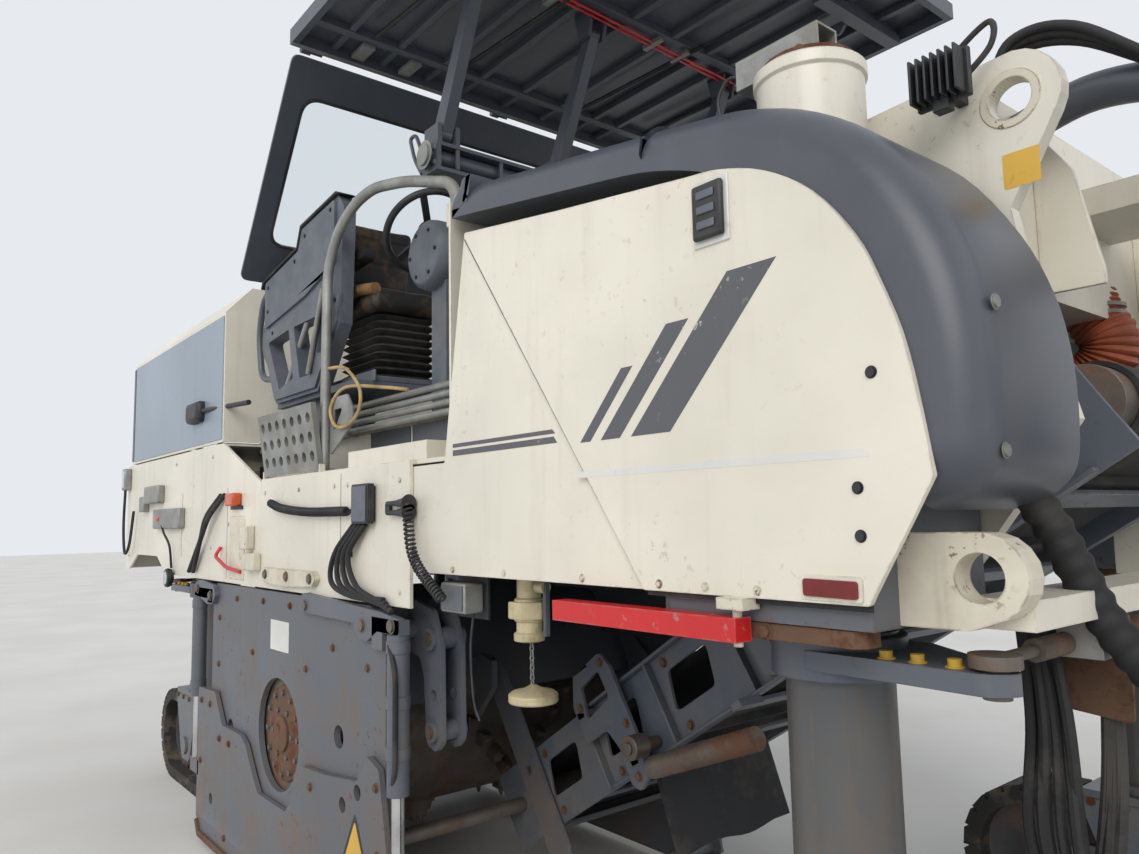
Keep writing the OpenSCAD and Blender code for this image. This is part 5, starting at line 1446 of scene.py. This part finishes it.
@dataclass
class Conveyor:
    """The first conveyor's frame and what hangs under the machine beside it."""

    half: float = 385.0
    high: float = 300.0
    pitch: int = 400

    def frame(self) -> None:
        """Builds the frame with slanted windows, flanges, ribs, latch plates and the lower tube."""
        where = leaning(760, CONV_Y, 420, -32.5)
        shape = Shape()
        h = self.high / 2
        windows = [rounded([(x, -50), (x + 210, -50), (x + 250, 80), (x + 40, 80)], 22, 3)
                   for x in (260 + self.pitch * i for i in range(6))]
        for way in (-1, 1):
            outer, inner = way * self.half, way * (self.half - 14)
            shape.slab(oblong(-60, -h, 2680, h), outer, inner, holes=windows, where=where)
            for z in (-h, h - 12):
                block(shape, (660, 2580), span(outer, way * (self.half + 32)), (z, z + 12), where)
            for i in range(1, 6):
                x = 225 + i * self.pitch
                block(shape, (x, x + 12), span(outer, way * (self.half + 30)), (-h + 6, h - 6), where)
            block(shape, (2350, 2440), span(outer, way * 580), (-30, 60), where)
        for i in range(7):
            block(shape, (150 + i * 380, 210 + i * 380), (-371, 371), (-h, -h + 14), where)
        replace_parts(shape.make("conveyor_frame", Finish.SLATE, bevel=2), "first_frame")
        rest = Shape()
        for a, b, radius, sides in (
                ((0, -371, 0), (0, 371, 0), 88, 32), ((2640, -371, 0), (2640, 371, 0), 88, 32),
                ((50, -1075, 0), (50, -384, 0), 28, 24), ((50, 384, 0), (50, 425, 0), 28, 24),
                ((930, -535, -95), (930, -384, -95), 20, 20), ((930, -525, -95), (930, -460, -95), 40, 24),
                ((960, -485, -178), (1420, -485, -268), 36, 24)):
            rest.rod(self.back(where(*a)), self.back(where(*b)), radius, sides)
        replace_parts(rest.make("conveyor_rollers", Finish.WORN_STEEL, bevel=2), "first_frame")
        latch = Shape().slab(rounded([(640, 20), (640, 160), (700, 255), (880, 265), (905, 200), (905, -40),
                                      (880, -190), (820, -215), (790, -180), (800, -60), (770, 20)], 24, 4),
                             -447, -431, holes=[rounded([(690, 90), (715, 200), (840, 215), (845, 110)], 18)],
                             where=where)
        for x, z in ((845, -120), (665, 120), (960, -160), (1400, -160)):
            block(latch, (x - 20, x + 20), (-486 if x > 900 else -447, -384), (z - 12, z + 12), where)
        for x in (1500, 1640):
            latch.slab(rounded([(x, -120), (x, 120), (x + 60, 150), (x + 90, 60), (x + 70, -150)], 18, 4), -430, -416,
                       where=where)
        latch.make("conveyor_latches", Finish.SLATE, bevel=3)
        spots = [(x, -self.half, z) for x in range(300, 2600, self.pitch) for z in (-110, 110)]
        spots += [(x, -447, z) for x, z in ((680, 140), (870, 230), (880, 0), (840, -170))]
        bolts = [(self.back(where(*spot)), RIGHT) for spot in spots]
        fasteners("conveyor_bolts", bolts, 13, 9, Finish.RUST)

    def back(self, point: Vector) -> Point:
        """Returns machine millimetres from a point of the shared frame."""
        return point.x * 1000 - X_SHIFT, point.y * 1000 - Y_SHIFT, point.z * 1000

    def underside(self) -> None:
        """Builds the water valve with its cap and chain, the junction box and the rubber flap."""
        valve = Shape().turned([(34, 1238), (46, 1242), (46, 1262), (38, 1268), (38, 1296), (44, 1300), (44, 1362),
                                (36, 1368), (36, 1440), (40, 1446), (40, 1450)], (1660, -1120), "z", 28)
        valve.turned([(60, 1306), (62, 1310), (62, 1352), (60, 1356)], (1660, -1120), "z", 6)
        valve.rod((1705, -1120, 1400), (1745, -1120, 1400), 18)
        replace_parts(valve.make("valve_body", Finish.BRASS, bevel=1), "water_valve")
        Shape().box((1738, 1752), (-1128, -1112), (1260, 1420)).make("valve_lever", Finish.SLATE_CLEAN, bevel=2)
        cap = Shape().turned([(70, 1060), (74, 1064), (74, 1084), (64, 1092), (30, 1100), (8, 1112)], (1655, -1105),
                             "z", 32)
        cap.make("valve_cap", Finish.BRASS, bevel=1)
        links = Shape()
        for k in range(9):
            z, flat = 1118 + k * 14, k % 2
            loop = [(1655 + (0 if flat else 1) * 6 * math.cos(t), -1108 + (6 * math.cos(t) if flat else 0),
                     z + 10 * math.sin(t)) for t in (math.pi * n / 6 for n in range(13))]
            links.tube(loop, 2.2, 6)
        links.make("cap_chain", Finish.ZINC)
        wire = curved([(1450, -1180, 1310), (1440, -1185, 1200), (1455, -1185, 1050), (1480, -1180, 990)])
        Shape().tube(wire, 4, 8).make("box_wire", Finish.BLACK)
        box = Shape().box((1338, 1478), (-1232, -1160), (1312, 1404))
        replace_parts(box.make("junction_box", Finish.ZINC, bevel=6), "control_boxes")
        Shape().box((1346, 1470), (-1237, -1232), (1320, 1396)).make("junction_lid", Finish.GREY, bevel=4)
        Shape().box((1330, 1500), (-1160, -1150), (1290, 1430)).make("junction_plate", Finish.BLACK, bevel=2)
        flap = Shape().loft([[at(1464, y, 770 + 14 * math.sin(y / 90)), at(1490, y, 776 + 14 * math.sin(y / 90)),
                              at(1610, y, 452 + 10 * math.sin(y / 60)), at(1590, y, 448)]
                             for y in range(-460, 180, 40)])
        flap.make("rubber_flap", Finish.RUBBER)

    def build(self) -> None:
        """Builds the conveyor's pieces."""
        self.frame()
        self.underside()


@dataclass
class FrontEnd:
    """Tower details, the orange hose, the work light and the hoses at the front."""

    eye: Pair = (2980.0, 2490.0)

    def tower(self) -> None:
        """Builds the lifting eyes' rings, the blank squares, the gussets and the weld beads."""
        for side, way in SIDES:
            face = CONV_Y + way * 620
            ring = Shape().turned([(47, face + way * 3), (64, face + way * 3), (66, face), (66, face - way * 40),
                                   (64, face - way * 43), (47, face - way * 43), (46, face - way * 42),
                                   (46, face + way * 2), (47, face + way * 3)], self.eye, "y", 40)
            ring.make(f"eye_ring_{side}", Finish.CREAM_WORN)
            sign = Shape().slab(rounded(oblong(2955, 2290, 3032, 2368), 5), face, face + way * 0.8)
            sign.make(f"blank_square_{side}", Finish.YELLOW, smooth=False)
        gussets = Shape()
        for y in (CONV_Y - 330, CONV_Y + 330):
            gussets.slab([(2900, 2112), (3040, 2112), (3040, 2150), (2990, 2400), (2900, 2540)], y, y + 14)
        gussets.make("tower_gussets", Finish.CREAM, bevel=2)
        beads = Shape()
        for y in (CONV_Y - 578, CONV_Y + 578):
            beads.rod((2901, y, 2115), (2901, y, 2555), 7, sides=8)
        beads.make("weld_beads", Finish.CREAM_WORN)

    def dust_hose(self) -> None:
        """Runs the orange hose down to its clamps."""
        ribbed_hose("orange_hose", [(2830, 0, 2190), (2850, 0, 2120), (2880, 0, 2060), (2862, 0, 2000),
                                    (2790, 0, 1940)], 72, 0.055, 15, Finish.ORANGE)
        clamp = Shape()
        for z in (2128, 2150):
            clamp.turned([(74, z), (79, z + 1), (79, z + 11), (74, z + 12)], (2846, 0))
        clamp.make("hose_clamps", Finish.ZINC)

    def work_light(self) -> None:
        """Builds the work light with its fins."""
        lamp = Shape().box((2820, 2940), (-866, -850), (2490, 2600))
        lamp.box((2868, 2892), (-850, -770), (2510, 2530)).box((2862, 2898), (-880, -850), (2470, 2505))
        for i in range(7):
            lamp.box((2824 + 17 * i, 2830 + 17 * i), (-908, -866), (2494, 2596))
        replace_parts(lamp.make("work_lamp", Finish.BLACK, bevel=2), "lamps")
        Shape().box((2826, 2934), (-850, -846), (2500, 2592)).make("work_lamp_face", Finish.LENS_CLEAR, bevel=2)

    def lines(self) -> None:
        """Runs the cables, the water pipe and the hoses, and builds the block and bracket that they pass."""
        cables = Shape().tube(curved([(2880, -812, 2540), (2960, -800, 2610), (2950, -775, 2680), (2860, -765, 2640),
                                      (2790, -775, 2560)]), 7, 8)
        for k in range(3):
            cables.tube(curved([(2910, -700 + 16 * k, 2560), (2960, -690 + 16 * k, 2660 - 8 * k),
                                (3080, -660 + 16 * k, 2650 - 12 * k), (3260, -600 + 16 * k, 2500),
                                (3500, -420 + 16 * k, 2430)]), 11, 10)
        cables.make("tower_cables", Finish.RUBBER)
        big = Shape().tube(curved([(2910, -560, 2500), (3080, -560, 2530), (3260, -540, 2490), (3480, -380, 2430)]),
                           42, 20)
        big.make("water_pipe", Finish.SLATE_CLEAN)
        ribbed_hose("sleeve_hose", [(2930, -880, 1740), (3010, -820, 1580), (3080, -760, 1380), (3160, -700, 1240)],
                    36, 0.07, 40, Finish.RUBBER)
        bundle = Shape()
        for k in range(6):
            swing = 14 * math.sin(k * 2.1)
            bundle.tube(curved([(2890 + 12 * k, -700, 1370), (2900 + 16 * k, -705 + swing, 1150),
                                (2880 + 22 * k + swing, -700 - swing, 900), (2960 + 10 * k, -690 + swing, 720),
                                (3010 + 6 * k, -640, 1000), (3020, -600 + 8 * k, 1370)]), 12, 8)
        bundle.make("hose_bundle", Finish.RUBBER)
        Shape().box((2985, 3072), (-760, -640), (1300, 1384)).make("valve_block", Finish.ZINC, bevel=3)
        Shape().slab(rounded([(2890, 1180), (3075, 1160), (3080, 1386), (2890, 1386)], 14), -640, -630).make(
            "rusty_bracket", Finish.RUST, bevel=1)

    def build(self) -> None:
        """Builds the front end."""
        self.tower()
        self.dust_hose()
        self.work_light()
        self.lines()


@dataclass
class Canopy:
    """The canopy's underside, its screen with the rounded window, and the carriers' details."""

    under: float = 3740.0

    def underside(self) -> None:
        """Builds the strips, bars, clips, struts and lips under the roof."""
        strips = Shape()
        for y in (-1120, -880, -640, -430, -180, 70, 300, 470, 700):
            strips.box((182, 2048), (y, y + 30), (self.under + 26, self.under + 56))
        for x in (330, 1150, 1790):
            strips.box((x, x + 46), (-1268, 888), (self.under + 20, self.under + 56))
        strips.make("roof_strips", Finish.SLATE_CLEAN, "canopy_roof", bevel=3)
        bars = Shape()
        for x in (0, 26):
            bars.rod((1140 + x, -640, self.under + 10), (1080 + x, 700, self.under + 10), 6, sides=10)
        bars.make("roof_red_bars", Finish.RED, "canopy_roof")
        clips = Shape()
        for y in (-560, 20, 199, 611):
            clips.box((1070, 1180), (y - 14, y + 14), (self.under + 2, self.under + 26))
        for y in (-1000, -760, 760):
            clips.box((200, 330), (y - 30, y + 30), (self.under + 4, self.under + 24))
        clips.make("roof_clips", Finish.ZINC, "canopy_roof", bevel=2)
        struts = Shape()
        for y in (-1010, -560, 160, 640):
            struts.rod((420, y, self.under + 12), (1250, y + 60, self.under + 12), 11)
            struts.rod((1250, y + 60, self.under + 12), (1560, y + 82, self.under + 12), 5)
        struts.make("roof_struts", Finish.BLACK, "canopy_roof")
        rim = Shape().box((152, 180), (-1298, 918), (self.under - 4, self.under + 2))
        rim.make("roof_rear_lip", Finish.ZINC, "canopy_roof", bevel=1)
        channel = Shape().box((1790, 1850), (300, 880), (self.under - 22, self.under + 20))
        channel.slab(rounded([(1500, 3742), (1560, 3700), (1760, 3690), (1800, 3742)], 20), 540, 556)
        channel.make("roof_front_channel", Finish.SLATE_CLEAN, "canopy_roof", bevel=3)

    def screen(self) -> None:
        """Builds the screen's frame, its seal and its pane."""
        where = leaning(125, 0, 3750, 37)
        window = rounded(oblong(-1180, -950, 800, -190), 90, 8)
        outer = rounded(oblong(-1270, -1150, 890, -25), 40)
        rim = Shape().slab(outer, -8, 7, "x", holes=[window], where=where)
        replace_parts(rim.make("screen_frame", Finish.SLATE_CLEAN, "canopy_screen", bevel=2), "rear_screen")
        pane = rounded(oblong(-1166, -936, 786, -204), 80, 8)
        seal = Shape().slab(window, -12, 10, "x", holes=[pane], where=where)
        seal.make("screen_seal", Finish.RUBBER, "canopy_screen", bevel=1)
        Shape().slab(pane, -2, 2, "x", where=where).make("screen_glass", Finish.PANE, "canopy_screen", smooth=False)

    def carriers(self) -> None:
        """Builds the cross beam's ribs, lugs and caps, and the pull handle."""
        beam = Shape()
        for y in range(-860, 900, 215):
            beam.box((846, 861), (y - 8, y + 8), (3022, 3108))
        for y in (-545, 515):
            beam.slab([(740, 2990), (860, 2990), (870, 2880), (820, 2860)], y, y + 30)
        beam.make("beam_ribs", Finish.SLATE_CLEAN, bevel=2)
        caps = [((800, way * 985, 3075), (0, way, 0)) for way in (-1, 1)]
        fasteners("beam_caps", caps, 44, 10, Finish.ZINC, sides=24)
        bolts = side_spots(-960, -1, *((x, z) for x in (760, 840) for z in (3040, 3100)))
        fasteners("beam_bolts", bolts, 9, 7, Finish.ZINC)
        handle = bent([(700, -940, 3040), (700, -940, 3140), (650, -940, 3228), (600, -940, 3228), (640, -940, 3120),
                       (700, -940, 3040)], 40)
        Shape().tube(handle, 8, 10).make("pull_handle", Finish.SLATE_CLEAN)

    def build(self) -> None:
        """Builds the canopy's pieces."""
        self.underside()
        self.screen()
        self.carriers()


@dataclass
class Fittings:
    """Boxes, lamps, cables and hoses on the right side, and what dresses the hood."""

    face: float = -SKIN_Y

    def boxes(self) -> None:
        """Builds the boxes and lamps."""
        grey = Shape()
        for x, z, deep in (((-2936, -2846), (1850, 2000), 46), ((-2300, -1960), (1740, 1850), 44),
                           ((-2080, -1500), (1580, 1700), 38), ((-2440, -2330), (1690, 1790), 40)):
            grey.box(x, (self.face - deep, self.face), z)
        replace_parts(grey.make("grey_boxes", Finish.ZINC, bevel=8), "control_boxes")
        Shape().box((-2922, -2860), (-1299, -1296), (1868, 1986)).make("display_face", Finish.LENS_CLEAR, bevel=1)
        lids = Shape().box((-430, -330), (-1292, self.face), (1480, 1590))
        lids.box((-400, -240), (-1288, self.face), (1385, 1465))
        lids.make("cable_boxes", Finish.CREAM_WORN, bevel=6)
        Shape().box((-640, -520), (-1298, self.face), (1688, 1752)).make("amber_lamp", Finish.LENS_AMBER, bevel=10)
        Shape().box((-660, -500), (-1262, self.face), (1672, 1690)).make("amber_foot", Finish.BLACK, bevel=3)
        led = Shape().box((800, 930), (-1290, -1262), (1592, 1736))
        for k in range(6):
            led.box((806 + 21 * k, 812 + 21 * k), (-1262, self.face), (1600, 1728))
        led.box((1010, 1046), (-1262, self.face), (1628, 1660))
        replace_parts(led.make("side_lamp", Finish.BLACK, bevel=4), "lamps")
        Shape().box((808, 922), (-1295, -1290), (1600, 1728)).make("side_lamp_face", Finish.GREY, bevel=2)
        horns = Shape()
        for z in (1628, 1660):
            horns.turned([(8, 1046), (10, 1110), (18, 1170), (28, 1200), (24, 1200)], (-1270, z), "x", 20)
        horns.make("horns", Finish.BLACK)
        spot = Shape().turned([(40, -1296), (52, -1292), (56, -1280), (50, -1262), (20, self.face)], (-1715, 1294),
                              "y", 28)
        spot.make("round_lamp", Finish.BLACK)
        glass = Shape().turned([(4, -1299), (30, -1298), (38, -1296)], (-1715, 1294), "y", 28)
        glass.make("round_lamp_face", Finish.LENS_CLEAR)
        arm = Shape().slab(rounded([(-181, 1345), (-150, 1405), (400, 1405), (440, 1375), (400, 1345), (60, 1330)],
                                   16), self.face - 24, self.face)
        arm.make("hinge_arm", Finish.CREAM_WORN, bevel=3)
        pins = side_spots(self.face - 24, -1, *((x, 1375) for x in (-120, 130, 380)))
        fasteners("hinge_pins", pins, 17, 7, Finish.WORN_STEEL, sides=20)
        camera = Shape().rod((-600, -1200, 2212), (-1180, -1262, 2226), 13)
        camera.make("camera_arm", Finish.BLACK)
        Shape().box((-1400, -1170), (-1296, -1222), (2168, 2284)).make("camera_body", Finish.BLACK, bevel=24)
        Shape().tube(bent([(-815, -1256, 1485), (-815, -1284, 1440), (-640, -1284, 1390), (-500, -1256, 1370)], 40),
                     9, 12).make("red_handle", Finish.RED)

    def cables(self) -> None:
        """Runs the curly cables and the hoses along the side."""
        curls = Shape()
        for line in ([(-80, -1268, 1690), (60, -1270, 1664), (346, -1272, 1644), (726, -1272, 1640)],
                     [(1189, -1272, 1652), (1240, -1274, 1480), (1412, -1270, 1354)]):
            curls.tube(coiled(line, 15, 15), 4.5, 6)
        curls.make("curly_cables", Finish.BLACK)
        hoses = Shape()
        for k in range(4):
            hoses.tube(curved([(780 + 30 * k, -1268, 1592), (640 + 40 * k, -1282, 1480), (600 + 70 * k, -1276, 1372),
                               (760 + 60 * k, -1270, 1330), (1010 + 20 * k, -1266, 1330 - 12 * k)]), 10, 10)
        for k in range(2):
            hoses.tube(curved([(-753 - 60 * k, -1262, 1749), (-930 - 50 * k, -1284, 1640), (-1073, -1284, 1519),
                               (-1334 + 80 * k, -1266, 1345)]), 12, 10)
        hoses.tube(curved([(-2890, -1280, 1850), (-2860, -1290, 1600), (-2800, -1290, 1420), (-2700, -1284, 1480),
                           (-2640, -1276, 1700)]), 9, 10)
        hoses.tube(curved([(-1960, -1272, 1640), (-1800, -1290, 1560), (-1700, -1280, 1480), (-1715, -1262, 1350)]),
                   7, 8)
        hoses.box((690, 730), (-1262, self.face), (1470, 1490))
        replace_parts(hoses.make("side_hoses", Finish.RUBBER), "hoses")
        Shape().rod((-1985, -1272, 1640), (-1930, -1272, 1640), 22).make("red_plug", Finish.RED, bevel=3)
        plates = Shape().slab(rounded([(-690, 1330), (-690, 1640), (-470, 1640), (-470, 1330)], 12), self.face - 3,
                              self.face)
        plates.make("service_plate", Finish.CREAM_WORN, bevel=1)
        seam = Shape()
        for x in (-1560, -740, 620):
            seam.box((x, x + 3), (self.face - 0.6, self.face), (1330 if x > -1000 else 1420, 1785))
        seam.make("skirt_seams", Finish.RUBBER, smooth=False)
        spots = side_spots(self.face, -1, (-2860, 1400), (-2860, 1960), (-1700, 1960), (-1000, 1960), (-1000, 1480),
                           (-720, 1600), (-720, 1380), (-200, 1740), (200, 1740), (560, 1740), (680, 1740),
                           (1100, 1740), (1100, 1360), (680, 1360))
        fasteners("skirt_screws", spots, 8, 5, Finish.CREAM_WORN)

    def hood(self) -> None:
        """Dresses the hood with its edge strips and latches, which open with it."""
        strip = Shape()
        for way in (-1, 1):
            strip.box((-2862, -2820), span(way * 1246, way * 1249.5), (2050, 2700))
        strip.make("hood_edge_strips", Finish.SLATE_CLEAN, "hood", bevel=1)
        latches = Shape()
        for way in (-1, 1):
            for x in (-2400, -1200):
                latches.box((x, x + 110), span(way * 1245, way * 1249.6), (2046, 2090))
        latches.make("hood_latches", Finish.BLACK, "hood", bevel=1)

    def build(self) -> None:
        """Builds the fittings."""
        self.boxes()
        self.cables()
        self.hood()


# Studio


@dataclass(frozen=True)
class Studio:
    """The camera at the photograph's viewing angle, a pale floor and soft light."""

    azimuth: float = 50.9
    rise: float = 6.04
    roll: float = 1.12
    place: Point = (0.2276, -2.625, 1.60)
    focal_pixels: float = 856.4
    image_width: float = 1139.0

    def camera(self) -> None:
        """Sets up the camera."""
        side, up, turn = (math.radians(v) for v in (self.azimuth, self.rise, self.roll))
        ahead = Vector((-math.sin(side) * math.cos(up), math.cos(side) * math.cos(up), math.sin(up)))
        right = Vector((math.cos(side), math.sin(side), 0.0))
        above = right.cross(ahead)
        across = right * math.cos(turn) - above * math.sin(turn)
        top = right * math.sin(turn) + above * math.cos(turn)
        data = bpy.data.cameras.new("camera")
        data.sensor_width = 36.0
        data.lens = 36.0 * self.focal_pixels / self.image_width
        data.clip_start, data.clip_end = 0.05, 200.0
        camera = placed("camera", data)
        columns = Matrix((across, top, -ahead)).transposed().to_4x4()
        camera.matrix_world = Matrix.Translation(Vector(self.place)) @ columns
        bpy.context.scene.camera = camera

    def floor(self) -> None:
        """Lays the pale floor."""
        size = 60.0
        data = bpy.data.meshes.new("floor")
        data.from_pydata([(-size, -size, 0), (size, -size, 0), (size, size, 0), (-size, size, 0)], [], [(0, 1, 2, 3)])
        floor = placed("floor", data)
        made, g, shader = blank_material("floor_concrete")
        vector = g.node("ShaderNodeTexCoord").outputs["Object"]
        colour = g.mix(g.step(g.noise(vector, 0.8, 6), 0.3, 0.7), srgb(233, 232, 229), srgb(225, 223, 219))
        g.feed(shader, {"Base Color": colour, "Roughness": 0.9})
        data.materials.append(made)

    def light(self) -> None:
        """Sets up the world and the lamps."""
        world = bpy.data.worlds.new("sky")
        bpy.context.scene.world = world
        world.use_nodes = True
        g = Graph(world.node_tree)
        back = world.node_tree.nodes["Background"]
        path = g.node("ShaderNodeLightPath")
        seen = g.math("MAXIMUM", path.outputs["Is Camera Ray"], path.outputs["Is Transmission Ray"])
        seen = g.math("MAXIMUM", seen, path.outputs["Is Glossy Ray"])
        g.feed(back, {"Strength": g.step(seen, 0, 1, 0.50, 0.86), "Color": (0.93, 0.96, 1.0, 1)})
        for name, place, strength, spread, tint in (
                ("key", (5.0, -9.0, 9.0), 1.55, 40.0, (1.0, 0.98, 0.95)),
                ("fill", (9.0, 5.0, 6.0), 0.45, 60.0, (0.95, 0.97, 1.0)),
                ("low", (-6.0, -9.0, 3.0), 0.5, 60.0, (1.0, 0.99, 0.97))):
            data = bpy.data.lights.new(name, "SUN")
            data.energy, data.angle, data.color = strength, math.radians(spread), tint
            lamp = placed(name, data)
            lamp.location = place
            aim = Vector((-2.0, 0.0, 1.5)) - Vector(place)
            lamp.rotation_mode = "QUATERNION"
            lamp.rotation_quaternion = aim.to_track_quat("-Z", "Y")

    def build(self) -> None:
        """Builds camera, floor and light, and sets the plain view transform."""
        self.camera()
        self.floor()
        self.light()
        bpy.context.scene.view_settings.view_transform = "Standard"


def main() -> None:
    """Builds the scene in order and reports each piece."""
    logging.basicConfig(level=logging.INFO, format="%(message)s")
    Studio().build()
    dress_nodes()
    LOG.info("dressed %d CAD nodes", len(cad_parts))
    for part in (OperatorStation(), FrontBodywork(), Legs(), DrumSide(), Conveyor(), FrontEnd(), Canopy(),
                 Fittings()):
        part.build()
        LOG.info("built %s", type(part).__name__)


if __name__ == "__main__":
    main()
